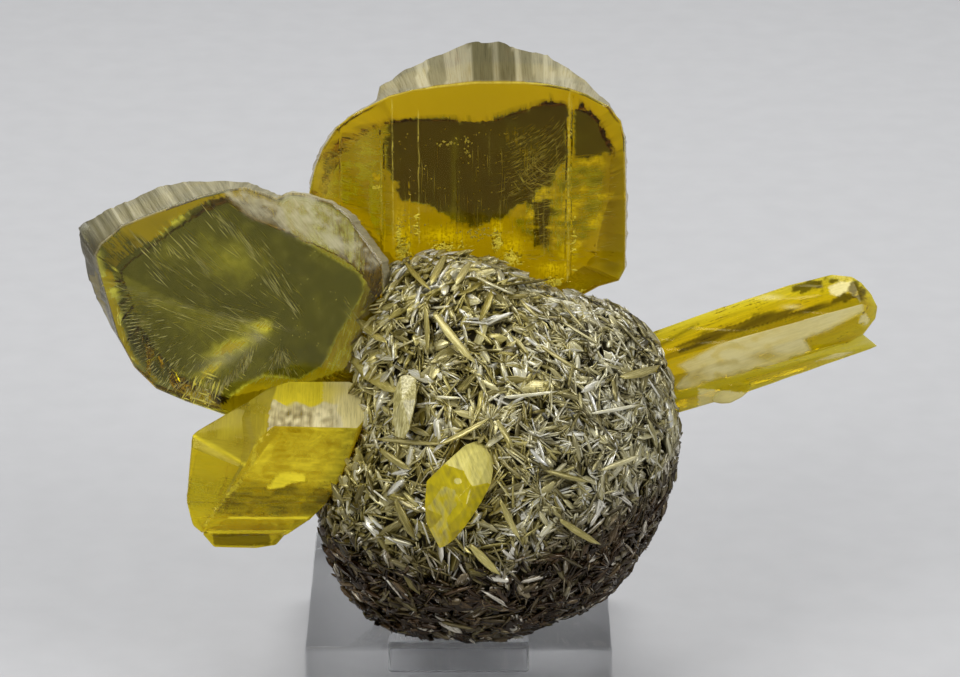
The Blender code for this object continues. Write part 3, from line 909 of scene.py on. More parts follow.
# depth steps down the front of the top plate: x, lowest z, highest z, depth
TOP_STEPS = ((-39.4, 12, 44, 0.16), (-38.4, 18, 43, -0.10), (-32.2, 10, 30, 0.10),
             (-29.3, 5, 46, 0.28), (-28.4, 8, 40, -0.16), (-22.2, 4, 38, 0.22),
             (-21.4, 10, 36, -0.12), (-10.4, 4, 34, -0.16), (-2.4, 6, 38, 0.14),
             (9.2, 8, 30, -0.12), (16.6, 2, 46, 0.30), (18.0, 2, 52, -0.34),
             (24.3, 6, 30, 0.12))


def top_step(x, z):
    d = 0.0
    for x0, lo, hi, dd in TOP_STEPS:
        wander = x0 + 0.25 * noise.noise(Vector((z * 0.25, x0, 2.0)))
        d += dd * smooth(wander - 0.16, wander + 0.16, x) \
            * smooth(lo - 2, lo + 2, z) * smooth(hi + 3, hi - 3, z)
    return d


def step_points(steps, rng):
    pts = []
    for x0, lo, hi, _ in steps:
        z = lo
        while z < hi:
            for off in (-0.2, 0.2):
                wander = x0 + 0.25 * noise.noise(Vector((z * 0.25, x0, 2.0)))
                pts.append((wander + off, z + rng.uniform(-0.1, 0.1)))
            z += 0.9
    return pts


# zones seen through the top plate, on its back face
TOP_DARK = ((-27.0, 41.6), (-20.1, 42.1), (-12.9, 41.9), (-7.2, 40.8), (-2.9, 41.1), (0.3, 42.4),
            (4.0, 44.4), (7.7, 44.7), (11.5, 46.5), (15.2, 46.0), (17.0, 45.6), (17.0, 31.0),
            (14.2, 27.5), (12.9, 22.0), (12.9, 8.0), (9.3, 7.0), (8.9, 19.0), (5.2, 19.0),
            (1.6, 15.4), (-2.2, 14.9), (-5.9, 12.3), (-10.9, 14.4), (-14.7, 17.0), (-18.4, 18.9),
            (-24.7, 20.2), (-26.6, 26.7), (-28.4, 29.4))
TOP_CLEAR_RIGHT = ((18.7, 45.3), (21.6, 45.4), (24.1, 42.6), (25.9, 38.9), (28.8, 33.4),
                   (29.3, 32.0), (23.5, 31.0), (18.8, 30.8))
TOP_STREAKY = ((18.8, 30.8), (23.5, 31.0), (29.3, 31.8), (29.9, 29.2), (28.9, 20.7),
               (26.3, 14.2), (21.0, 8.5), (19.2, 3.7), (12.0, 6.6), (5.7, 10.4),
               (3.9, 14.2), (7.5, 18.9), (11.9, 25.4), (16.8, 29.2))
TOP_LEFT = ((-44.2, 33.8), (-38.8, 37.5), (-33.4, 40.1), (-27.2, 41.3), (-26.6, 23.6),
            (-26.4, 12.3), (-29.7, 9.4), (-32.8, 16.0), (-36.3, 18.9), (-44.3, 21.7))
# bright hair lines down its front face: x, lowest z, highest z, strength
TOP_LINES = ((-39.0, 23, 39, 0.45), (-29.1, 15, 34, 0.45), (-26.25, 12, 49, 0.75),
             (-19.8, 12, 46, 0.75), (-2.4, 29, 39, 0.25), (0.3, 10, 23, 0.3),
             (11.2, 8, 25, 0.35), (17.25, 2, 52, 0.8), (17.95, 40, 49, 0.8),
             (17.9, 4, 36, 0.35), (24.3, 6, 24, 0.25))
# the crest's bands: from each x on, how pearly and how dark, the dark being painted shade seen through
# the crest
TOP_BANDS = ((-99, 0.90, 0.15), (-42.0, 0.85, 0.35), (-29.7, 0.90, 0.30), (-25.0, 0.85, 0.50),
             (-20.1, 1.00, 0.00), (-17.0, 0.85, 0.62), (-12.9, 0.95, 0.12), (-9.2, 0.95, 0.22),
             (-5.9, 0.80, 0.85), (-0.8, 0.85, 0.45), (0.7, 0.75, 0.80), (4.6, 0.95, 0.15),
             (6.0, 0.80, 0.65), (9.0, 0.90, 0.35), (11.5, 1.00, 0.05), (14.0, 0.9, 0.45),
             (15.2, 1.00, 0.10), (18.8, 0.90, 0.35), (20.5, 0.95, 0.15), (24.0, 0.90, 0.40))


def build_top():
    plate = Plate(TOP_PLATE, TOP_ORIGIN, TOP_TURN, TOP_THICK, 3)

    def crest_at(x, z, s):
        pearl, dark = [(b, c) for at, b, c in TOP_BANDS if x + 0.15 * (z - 52) >= at][-1]
        high = smooth(36, 44, z)
        return pearl * high + 0.5 * (1 - high), dark * high + 0.1 * (1 - high)

    def back_at(x, z, bevel):
        w1 = noise.noise(Vector((x * 0.55, z * 0.55, 11.0)))
        w2 = noise.noise(Vector((x * 0.9, z * 0.9, 14.0)))
        rx, rz = x + 0.9 * w1 + 0.5 * w2, z + 0.9 * w2
        # The darkening worked out below is painted shade: the glass is darkened where the plate shows
        # darkness through it.
        gold, painted_dark, glow = 0.97, 0.0, 0.0
        left = smooth(0.8, -0.8, edge_distance((rx, rz), TOP_LEFT))
        bars = 0.5 + 0.5 * noise.noise(Vector((x * 0.75, z * 0.03, 61.0))) \
            + 0.3 * noise.noise(Vector((x * 0.4, z * 0.5, 63.0)))
        gold += (0.16 + 0.74 * bars - 0.10 * smooth(-38, -42, x) - gold) * left
        painted_dark += (0.42 - painted_dark) * left
        streaky = smooth(0.9, -0.9, edge_distance((rx, rz), TOP_STREAKY))
        flare = noise.noise(Vector((x * 0.14, (z - 0.12 * x) * 0.42, 65.0))) \
            + 0.4 * noise.noise(Vector((x * 0.4, z * 0.7, 67.0)))
        gold += (0.54 + 0.55 * flare - gold) * streaky
        painted_dark += (0.42 - 0.70 * flare - painted_dark) * streaky
        flare = 0.55 * smooth(0.02, 0.40, flare) * streaky
        side = smooth(25.6, 27.4, x + 0.8 * w1) * smooth(33.0, 31.0, z)
        gold += (0.97 - gold) * side
        painted_dark += (0.48 - painted_dark) * side
        clear = smooth(0.4, -0.4, edge_distance((x + 0.4 * w2, z + 1.5 * w1 + 0.9 * w2),
                                                TOP_CLEAR_RIGHT))
        gold += (0.12 + 0.30 * smooth(34.5, 31.5, z) - gold) * clear
        painted_dark += (0.93 - painted_dark) * clear
        e = edge_distance((rx, rz), TOP_DARK)
        dark = smooth(0.35, -0.35, e)
        # foot is a painted glow: gold that lights up the dark zone's lower part and thins its
        # darkening.
        foot = smooth(24, 13, z) * smooth(-6.0, 0.0, e) * 0.46
        veil = 0.40 * spot(x, z, 7.5, 33.0, 5.5, 7.5) + 0.26 * spot(x, z, 1.5, 37.0, 4.5, 3.5)
        rim = 0.34 * smooth(-2.2, 0.0, e) * smooth(30, 36, z)
        lines = 0.35 * spot(x, 0, -25.2, 0, 1.2, 1) * smooth(31, 26, z)
        gold += (0.03 + max(foot, veil, rim, lines) - gold) * dark
        green = math.exp(-((x + 10.9) / (1.0 + 2.2 * smooth(20, 13, z))) ** 2) \
            * smooth(39, 35, z)
        block = spot(x, z, 11.0, 15.0, 1.9, 9.0)
        painted_dark += (1.0 - 0.16 * green - 0.06 * veil / 0.34 - 0.30 * foot + 0.1 * block
                  - painted_dark) * dark
        for cx, cz, sx, sz in ((-23.6, 9.2, 2.4, 3.2), (-24.9, 12.5, 0.8, 4.5),
                               (-13.5, 10.5, 5.5, 2.2), (-0.5, 12.5, 1.6, 2.6),
                               (3.2, 7.5, 2.6, 2.8), (13.5, 1.5, 3.0, 1.8),
                               (20.0, -1.6, 3.2, 2.0), (-30.5, 26.5, 1.3, 0.8)):
            glow = max(glow, flare, spot(rx, rz, cx, cz, sx, sz))
        gold = max(gold, 0.95 * smooth(0.25, 0.6, glow))
        painted_dark *= 1 - smooth(0.2, 0.6, glow)
        return min(1.0, max(0.0, gold)), min(1.0, max(0.0, painted_dark)), glow

    def haze_at(x, z):
        best = 0.0
        for x0, lo, hi, much in TOP_LINES:
            x1 = x0 + 0.25 * noise.noise(Vector((z * 0.25, x0, 2.0)))
            line = smooth(0.24, 0.0, abs(x - x1)) * smooth(lo - 1, lo + 1, z) \
                * smooth(hi + 1, hi - 1, z) * much
            best = max(best, line * (0.75 + 0.5 * noise.noise(Vector((x0, z * 0.6, 0)))))
        pale = math.exp(-(((x + 43.5) / 3.0) ** 2 + ((z - 28) / 7.0) ** 2)) * 0.42
        cloud = math.exp(-(((x + 33.5) / 3.5) ** 2 + ((z - 36) / 6.0) ** 2)) * 0.16
        return max(best, pale, cloud)

    def grain_at(x, z, front):
        if front or -26.5 < x < 17.5:
            return x, z, 0.0
        if x >= 17.5:
            return z - 0.15 * x, x, 3.0
        return z + 0.22 * x, x, 7.0

    rng = random.Random(5)
    columns = []
    for x0, lo, hi, _ in TOP_LINES:
        z = lo - 1.0
        while z < hi + 1.0:
            x1 = x0 + 0.25 * noise.noise(Vector((z * 0.25, x0, 2.0)))
            columns += [(x1 + off, z + rng.uniform(-0.1, 0.1)) for off in (-0.24, 0.0, 0.24)]
            z += 0.8
    ob = plate.build("crystal_top_visible",
                     crystal_material("honey_gypsum_top", (0.955, 0.915, 0.0), 380.0,
                                      (0.006, 0.003, 0.001), haze=(0.92, 0.76, 0.12)),
                     crest_at, back_at, haze_at, top_step, grain_at,
                     step_points(TOP_STEPS, rng) + columns,
                     rim_at=lambda x, z: ((0.97, 0.0) if (x > 24 and z < 43) or z < 7
                                          else (0.3, 0.25)))
    piece(ob, "honey_crystal", "crystal_top")

    rng = random.Random(8)
    strokes = []

    def deep(lo, hi):
        """Half the strokes break the front face, the rest are inside."""
        return -0.01 if rng.random() < 0.6 else rng.uniform(lo, hi)

    for _ in range(200):                       # left edge, lying strokes
        z = rng.uniform(10, 40)
        x = rng.uniform(-44, -27)
        strokes.append((x, z, deep(1.5, 9), rng.gauss(-0.2, 0.15),
                        rng.uniform(1.0, 4.0), rng.uniform(0.05, 0.14)))
    for _ in range(380):                       # right of the dark zone, fanned up
        k = rng.random()
        x = 2 + 14 * k + rng.gauss(0, 2)
        z = 31 + 5 * k + rng.gauss(0, 4.5)
        if edge_distance((x, z), TOP_DARK) > -0.5:
            continue
        strokes.append((x, z, deep(4, 12), 0.30 + 0.045 * (x - 2) + rng.gauss(0, 0.10),
                        rng.uniform(0.8, 3.6), rng.uniform(0.02, 0.07)))
    for _ in range(160):                       # arcs below them
        k = rng.random()
        a, r = -2.6 + 1.1 * k, rng.choice((5.0, 6.5, 8.0, 9.5, 11.0)) + rng.gauss(0, 0.3)
        strokes.append((13 + math.cos(a) * r, 36 + math.sin(a) * r * 1.2, deep(4, 12),
                        a + math.pi / 2 + rng.gauss(0, 0.06), rng.uniform(0.8, 2.4),
                        rng.uniform(0.04, 0.10)))
    for _ in range(300):                       # streaks to the right edge
        x = rng.uniform(6, 29)
        z = rng.uniform(7, 31)
        strokes.append((x, z, deep(2, 12), 0.015 * (z - 12) + rng.gauss(0.05, 0.12),
                        rng.uniform(0.8, 3.6), rng.uniform(0.05, 0.13)))
    for _ in range(60):                        # vertical hair lines
        x = rng.uniform(-25, 16)
        strokes.append((x, rng.uniform(14, 38), deep(1, 10),
                        math.pi / 2 + rng.gauss(0, 0.03), rng.uniform(3, 10),
                        rng.uniform(0.03, 0.06)))
    for _ in range(120):                       # flecks
        x, z = rng.gauss(-7, 10), rng.uniform(12, 41)
        strokes.append((x, z, deep(3, 12), rng.uniform(0, 3.1),
                        rng.uniform(0.2, 0.8), rng.uniform(0.08, 0.3)))
    for cx, cz, rx, rz, many in ((-7.8, 36.5, 0.8, 3.5, 16), (-12.4, 38.0, 4.0, 1.2, 20),
                                 (-22.5, 17, 3.0, 2.5, 26), (-5, 14.5, 5, 2.0, 36)):
        for _ in range(many):                  # clusters of brighter crumbs
            strokes.append((cx + rng.gauss(0, rx / 2), cz + rng.gauss(0, rz / 2), -0.01,
                            rng.uniform(0, 3.1), rng.uniform(0.4, 1.1), rng.uniform(0.2, 0.5)))
    # The crumbs below are broken bits sitting where light flares in at the crystal's foot: their
    # bright gold is partly a painted glow.
    crumbs = []
    for cx, cz, sx, sz, many in ((-23.6, 9.8, 1.5, 2.8, 120), (-24.9, 13.5, 0.4, 4.0, 40),
                                 (-13.5, 10.8, 3.6, 1.2, 70), (-0.5, 12.0, 1.0, 2.6, 90),
                                 (3.0, 7.8, 1.7, 2.0, 90), (-20.4, 16.0, 0.6, 4.0, 26),
                                 (13.5, 1.6, 2.6, 1.0, 70), (20.0, -1.8, 2.4, 1.0, 130),
                                 (-30.5, 26.5, 0.9, 0.4, 12), (-36.5, 17.0, 1.8, 0.9, 30),
                                 (18.6, 12.0, 0.4, 6.0, 26)):
        for _ in range(many):                  # bright broken crumbs at its foot
            lying = rng.random() < 0.5
            crumbs.append((rng.gauss(cx, sx * 0.6), rng.gauss(cz, sz * 0.55), deep(0.4, 3),
                           rng.gauss(0.1, 0.25) if lying else rng.gauss(1.5, 0.3),
                           rng.uniform(0.4, 1.9), rng.uniform(0.15, 0.60)))
    crumbs = [q for q in crumbs if edge_distance((q[0], q[1]), plate.F[::4]) < -1.0]
    ob = slivers("crystal_top_bright_crumbs", plate, crumbs,
                 streak_material("bright_crumbs", (1.0, 0.84, 0.07), 0.95))
    piece(ob, None)
    strokes = [q for q in strokes if edge_distance((q[0], q[1]), plate.F[::4]) < -2.5]
    ob = slivers("crystal_top_inner_strokes", plate, strokes,
                 streak_material("golden_strokes", (0.50, 0.40, 0.05), 0.80))
    piece(ob, None)
    return plate


# zones seen through the left plate, on its back face
LEFT_DARK = ((-58.2, 20.6), (-35.4, 39.5), (-31.0, 40.6), (-27.3, 41.1), (-19.8, 39.4), (-10.4, 30.7),
             (4.6, 22.3), (5.3, 18.4), (2.1, 11.7), (-1.5, 5.8), (-5.3, -1.9), (-11.7, -6.1),
             (-19.8, -5.6), (-23.5, -7.7), (-30.0, -12.8), (-33.7, -14.9), (-39.1, -12.3),
             (-47.3, -8.9), (-53.4, -0.6), (-55.9, 7.8))
LEFT_OLIVE = ((-60.5, 29.0), (-57.5, 31.2), (-52.0, 31.0), (-47.6, 28.9), (-58.2, 20.4), (-61.0, 22.0))
LEFT_EDGE = ((-55.5, 20.7), (-54.8, 12.3), (-53.2, 4.8), (-50.3, -2.7), (-45.4, -8.1),
             (-39.1, -11.1), (-33.7, -12.3), (-29.0, -7.3), (-22.5, -1.2))
# pale zones on its front face
LEFT_PEARL = ((-28.9, 45.3), (-23.6, 46.5), (-17.4, 44.6), (-14.7, 43.8), (-12.0, 45.8),
              (-5.0, 44.7), (2.0, 39.5), (6.4, 34.2), (11.2, 28.5), (9.0, 26.0),
              (5.4, 27.3), (-1.6, 31.1), (-6.9, 33.1), (-13.1, 36.1), (-19.3, 38.6),
              (-24.5, 42.0))
LEFT_FACET = ((-13.8, 45.2), (-5.0, 44.7), (-5.1, 33.7), (-13.1, 36.1), (-15.6, 42.4))
LEFT_STREAK = ((-25.4, 43.8), (-17.4, 44.2), (-17.5, 37.3), (-22.8, 39.3))
LEFT_MIDDLE = (-15.9, 12.7)


def build_left():
    plate = Plate(LEFT_PLATE, LEFT_ORIGIN, LEFT_TURN, LEFT_THICK, 9)

    def crest_at(x, z, s):
        # The second value is painted shade, darkness seen through the crest.
        top = smooth(29, 33, z) * smooth(-65.5, -60, x)
        wave = 0.5 + 0.5 * noise.noise(Vector((s * 0.22, 4.0, 0)))
        fine = 0.5 + 0.9 * noise.noise(Vector((s * 0.75, 8.0, 0)))
        if x > -14:
            return 0.78 + 0.22 * wave, 0.30 * fine * (1 - wave)
        return (0.74 + 0.26 * wave) * top + 0.30 * (1 - top), \
            min(0.9, max(0.0, 1.25 - 0.9 * wave - 0.8 * fine)) * top + 0.45 * (1 - top)

    def near_edge(x, z):
        return min(math.hypot(x - a, z - b) for a, b in rim)

    rim = []
    for (ax, az), (bx, bz) in zip(LEFT_EDGE, LEFT_EDGE[1:]):
        for k in range(8):
            rim.append((ax + (bx - ax) * k / 8, az + (bz - az) * k / 8))

    def slant(x, z, cx, cz, rx, rz, ang):
        dx, dz = x - cx, z - cz
        c, q = math.cos(ang), math.sin(ang)
        return math.exp(-(((dx * c + dz * q) / rx) ** 2 + ((dz * c - dx * q) / rz) ** 2))

    def back_at(x, z, bevel):
        w1 = noise.noise(Vector((x * 0.4, z * 0.4, 21.0)))
        w2 = noise.noise(Vector((x * 0.9, z * 0.9, 24.0)))
        rx, rz = x + 1.2 * w1 + 0.5 * w2, z + 1.2 * w2
        e = edge_distance((x, z), LEFT_DARK)
        upper_left = z > 20.6 + (x + 58.2) * 0.829 and x < -22
        glow = 0.0
        # The darkening worked out below is painted shade: the glass is darkened where the plate shows
        # darkness through it; shaded ramps it in.
        if upper_left:
            gold = 0.97
            painted_dark = 0.60 + 0.35 * noise.noise(Vector((x * 0.12, z * 0.12, 29.0)))
            olive = smooth(0.6, -0.6, edge_distance((rx, rz), LEFT_OLIVE))
            gold -= 0.42 * olive
            painted_dark += 0.38 * olive
        elif x < -38 or z < -8:
            gold, painted_dark = 0.92, 0.12
        elif x > -24 and z > 20:
            gold, painted_dark = 0.50, 0.34
        else:
            gold, painted_dark = 0.60, 0.4
        touch = 0.8 * smooth(-16, -10, x)      # no pale seam beside the shoulder
        inside, shaded = smooth(0.25, -0.25, e), \
            smooth(-0.25 + touch, -0.95 + 0.8 * touch, e)
        patch = spot(rx, rz, -27.0, 24.5, 7.0, 5.0)
        low = max(slant(rx, rz, -28.5, 1.6, 6.5, 2.0, 0.42),
                  slant(rx, rz, -33.5, -4.6, 4.6, 1.5, 0.62),
                  spot(rx, rz, -37.5, -10.8, 4.6, 2.2), spot(rx, rz, -20.3, 7.5, 2.6, 1.8))
        zebra = smooth(7.0, 0.5, near_edge(x, z)) * (0.20 + 0.28 * smooth(2, -3, z)) \
            * smooth(24, 12, z)
        want = min(0.92, 0.03 + max(0.35 * zebra, 0.26 * patch, 0.62 * low))
        mid = slant(x, z, -27.0, 13.0, 9.0, 3.0, -0.2)
        mild = 0.5 * spot(rx, rz, -40, 27, 8, 6) + 0.4 * spot(rx, rz, -36, 6, 8, 5)
        gold += (want - gold) * inside
        mottle = 0.16 * max(0.0, noise.noise(Vector((x * 0.22, z * 0.22, 27.0)))) \
            + 0.14 * max(0.0, noise.noise(Vector((x * 0.6, z * 0.6, 28.0))))
        ridge = 20.2 - 12.5 * min(1.0, max(0.0, (x + 57) / 39)) \
            - 2.0 * math.sin(min(1.0, max(0.0, (x + 57) / 39)) * 3.1)
        under = smooth(ridge + 0.3, ridge - 0.3, z) * smooth(-16, -20, x) \
            * smooth(ridge - 9, ridge - 1, z)
        painted_dark += (0.96 - mottle - 0.34 * patch - 0.90 * low - 0.22 * mild - 0.25 * zebra
                  - 0.16 * under + 0.05 * mid - painted_dark) * shaded
        glow = max(0.75 * slant(rx, rz, -33.5, -5.2, 4.2, 1.3, 0.62),
                   0.6 * spot(rx, rz, -38.0, -11.2, 4.2, 1.8)) * inside
        return min(1.0, max(0.0, gold)), min(1.0, max(0.0, painted_dark)), glow

    def haze_at(x, z):
        cloudy = 0.5 + 0.9 * noise.noise(Vector((x * 0.16, z * 0.16, 31.0)))
        cloudy = cloudy * 0.6 + 0.25 + 0.7 * noise.noise(Vector((x * 0.55, z * 0.4, 33.0)))
        e = edge_distance((x, z), LEFT_PEARL)
        far, near = 0.91 * x - 0.41 * z, 0.41 * x + 0.91 * z
        stripe = noise.noise(Vector((far * 0.10, near * 0.8, 35.0)))
        pearl = smooth(0.4, -0.9, e) * max(0.10, 0.12 + 0.80 * cloudy + 0.9 * stripe)
        facet = smooth(2.0, -1.0, edge_distance((x, z), LEFT_FACET)) \
            * (0.16 + 0.25 * spot(x, z, -8.0, 37.0, 4.0, 4.0))
        plume = 0.36 * max(slant(x, z, -28.5, 1.6, 6.0, 1.7, 0.42),
                           spot(x, z, -20.3, 7.5, 2.2, 1.4)) * (0.6 + 0.5 * cloudy)
        streak = smooth(0.3, -1.0, edge_distance((x, z), LEFT_STREAK)) * 0.6
        a, b = (-57.7, 20.4), (-7.8, 9.8)      # the faint line across the middle
        t = min(1.0, max(0.0, (x - a[0]) / (b[0] - a[0])))
        off = abs(z - (a[1] + (b[1] - a[1]) * t + 1.5 * math.sin(t * 3.1) * -1.0))
        line = smooth(0.6, 0.0, off) * 0.12 * smooth(0, 0.1, t) * smooth(1, 0.9, t)
        return min(0.9, max(pearl + facet, streak, plume)) + line

    def grain_at(x, z, front):
        if front:
            c, q = math.cos(-0.9), math.sin(-0.9)
            return -x * q + z * c, x * c + z * q, 0.0
        dx, dz = x - 12.0, z - 44.0            # streaks fan out from the upper right
        return math.atan2(dz, -dx) * 55.0, math.hypot(dx, dz), 0.0

    ob = plate.build("crystal_left_large_visible",
                     crystal_material("olive_gypsum_left", (0.955, 0.934, 0.30), 340.0,
                                      (0.010, 0.0105, 0.008), haze=(0.66, 0.61, 0.40),
                                      mirror=(0.66, 0.66, 0.56)),
                     crest_at, back_at, haze_at, no_step, grain_at,
                     rim_at=lambda x, z: ((0.97, 0.0) if z < 14 and x < -24 else
                                          (0.6, 0.1) if z < 20 or x > -2 else (0.0, 0.35)))
    piece(ob, "olive_crystal", "crystal_left_large")

    rng = random.Random(21)
    strokes = []

    def along(ax, az, bx, bz, many, spread, longest, width):
        """A loose bundle of fine lines beside the line a-b."""
        ang = math.atan2(bz - az, bx - ax)
        for _ in range(many):
            t = rng.random()
            off = rng.gauss(0, spread)
            x = ax + (bx - ax) * t - math.sin(ang) * off
            z = az + (bz - az) * t + math.cos(ang) * off
            strokes.append((x, z, deep(2, 9), ang + rng.gauss(0, 0.05),
                            rng.uniform(0.25, 1.0) * longest, rng.uniform(0.5, 1.0) * width))

    def deep(lo, hi):
        return -0.01 if rng.random() < 0.6 else rng.uniform(lo, hi)

    along(-51.5, 32.1, -42.8, 22.3, 24, 1.2, 7, 0.14)
    along(-44.3, 32.5, -41.7, 27.9, 12, 1.5, 5, 0.12)
    along(-39.8, 32.7, -31.0, 23.8, 30, 2.2, 8, 0.13)
    along(-31.6, 40.5, -26.3, 34.2, 14, 1.0, 6, 0.15)
    along(-29.8, 41.5, -18.4, 25.3, 24, 1.1, 9, 0.11)
    along(-18.4, 26.2, -9.7, 13.6, 34, 1.2, 7, 0.11)
    along(-23.7, 33.4, -15.3, 23.6, 16, 1.5, 7, 0.10)
    along(-44.0, 27.0, -16.0, 8.0, 60, 6.0, 9, 0.08)
    along(1.6, 17.4, 4.7, 13.3, 8, 0.5, 4, 0.16)
    for _ in range(760):                       # feathers in from the lower left
        x0, z0 = rng.choice(rim)
        if z0 > 17:
            continue
        dx, dz = LEFT_MIDDLE[0] - x0, LEFT_MIDDLE[1] + 2 - z0
        far = math.hypot(dx, dz)
        r = abs(rng.gauss(0, 5.0)) + 0.8
        ang = math.atan2(dz, dx) + 0.25 * smooth(5, -5, z0) + rng.gauss(0.05, 0.13)
        wide = rng.uniform(0.04, 0.15) * (1.6 if z0 < 0 and r < 4 else 1.0)
        strokes.append((x0 + dx / far * r, z0 + dz / far * r, deep(2, 9), ang,
                        rng.uniform(0.8, 3.2), wide))
    for _ in range(90):                        # lines in the grey middle
        x, z = rng.gauss(-28, 6), rng.gauss(11.5, 1.8)
        strokes.append((x, z, deep(2, 9), -0.32 + rng.gauss(0, 0.05),
                        rng.uniform(1.5, 6), rng.uniform(0.03, 0.08)))
    for k in range(46):                        # the faint ridge across the middle
        t = (k + rng.random()) / 46
        strokes.append((-57 + 39 * t, 20.2 - 12.5 * t - 2.0 * math.sin(t * 3.1), -0.01,
                        -0.31 + rng.gauss(0, 0.03), rng.uniform(1.0, 2.6),
                        rng.uniform(0.05, 0.11)))
    for _ in range(50):                        # crumbs in the dark middle
        strokes.append((rng.gauss(-12, 8), rng.gauss(14, 8), -0.01, rng.uniform(0, 3.1),
                        rng.uniform(0.2, 0.6), rng.uniform(0.06, 0.2)))
    for _ in range(110):                       # fan above the ball
        ang = rng.uniform(-2.3, -0.9)
        r = rng.uniform(2, 13)
        x, z = -14.6 + math.cos(ang) * r * 0.8, 6.0 + math.sin(ang) * r
        strokes.append((x, z, deep(3, 10), ang + rng.gauss(0, 0.1),
                        rng.uniform(1.0, 3.5), rng.uniform(0.05, 0.13)))
    for cx, cz, a, b in ((-32.8, -5.8, 0.7, 1.2),):        # nested growth step
        for ang, ox, oz, ln in ((0.2, 0.5, b, 2 * a), (0.2, -0.5, -b, 2 * a),
                                (1.35, a, 0, 2 * b), (1.35, -a, 0, 2 * b)):
            strokes.append((cx + ox, cz + oz, -0.01, ang, ln, 0.24))
    steps = []
    for a, b, at in ((3.0, 3.7, (-33.4, -6.4)), (1.7, 2.3, (-33.1, -6.0))):
        c, q = math.cos(-0.30), math.sin(-0.30)
        for ang, ox, oz, ln in ((0.0, 0.0, b, 1.7 * a), (0.0, -0.2, -b, 1.9 * a),
                                (math.pi / 2, a, 0.2, 1.8 * b), (math.pi / 2, -a, 0, 1.3 * b)):
            steps.append((at[0] + ox * c - oz * q, at[1] + ox * q + oz * c, -0.02,
                          ang - 0.30, ln, 0.42))
    for _ in range(40):                        # glassy yellow chips about them
        x, z = rng.gauss(-37.5, 3.4), rng.gauss(-9.8, 1.7)
        if edge_distance((x, z), LEFT_DARK) < 0.5:
            steps.append((x, z, -0.02, rng.choice((-0.3, 0.9, 1.27)) + rng.gauss(0, 0.15),
                          rng.uniform(0.4, 2.2), rng.uniform(0.06, 0.35)))
    # The bright slivers along the lower left rim are a painted highlight on that edge.
    for k in range(40):                        # bright edge of the lower left rim
        x0, z0 = rng.choice(rim)
        if z0 < 14:
            steps.append((x0 - 0.4 + rng.gauss(0, 0.25), z0 - 0.3 + rng.gauss(0, 0.25), -0.02,
                          math.atan2(-(x0 + 16), z0 - 12) + math.pi + rng.gauss(0, 0.08),
                          rng.uniform(0.8, 2.4), rng.uniform(0.08, 0.22)))
    steps = [q for q in steps if edge_distance((q[0], q[1]), plate.F[::4]) < -0.6]
    ob = slivers("crystal_left_large_bright_steps", plate, steps,
                 streak_material("bright_steps", (0.95, 0.84, 0.16), 0.92))
    piece(ob, None)
    strokes = [q for q in strokes if edge_distance((q[0], q[1]), plate.F[::4]) < -1.6]
    ob = slivers("crystal_left_large_inner_strokes", plate, strokes,
                 streak_material("pale_gold_strokes", (0.62, 0.57, 0.22), 0.85))
    piece(ob, None)
    return plate


# ================================================================== lumps
# zones of the right crystal, in leaned (u, v); the first marks painted shade, a dark patch seen
# through the upper facet
RIGHT_PAINTED_DARK = ((44.8, 24.8), (51.6, 28.5), (59.7, 30.4), (64.0, 32.9), (71.5, 33.5),
               (76.5, 34.6), (82.7, 36.0), (87.6, 37.8), (86.4, 36.9), (77.7, 33.8),
               (72.1, 32.5), (66.5, 30.4), (59.7, 28.8), (53.5, 26.6), (45.4, 23.8))
RIGHT_WHITE = ((44.7, 20.4), (54.6, 25.6), (65.1, 29.8), (76.3, 33.0), (82.5, 34.7),
               (90.7, 36.4), (91.2, 33.8), (85.3, 30.4), (76.3, 27.0), (78.2, 24.1),
               (70.7, 20.8), (59.6, 18.0), (51.5, 15.5), (45.0, 14.9), (47.2, 18.0))
RIGHT_LENS = ((79.6, 21.4), (84.3, 23.3), (88.7, 23.7), (85.6, 22.4))
RIGHT_PALE = ((82.6, 39.7), (85.7, 41.3), (88.2, 41.1), (87.3, 39.1), (85.1, 37.5), (82.9, 38.2))


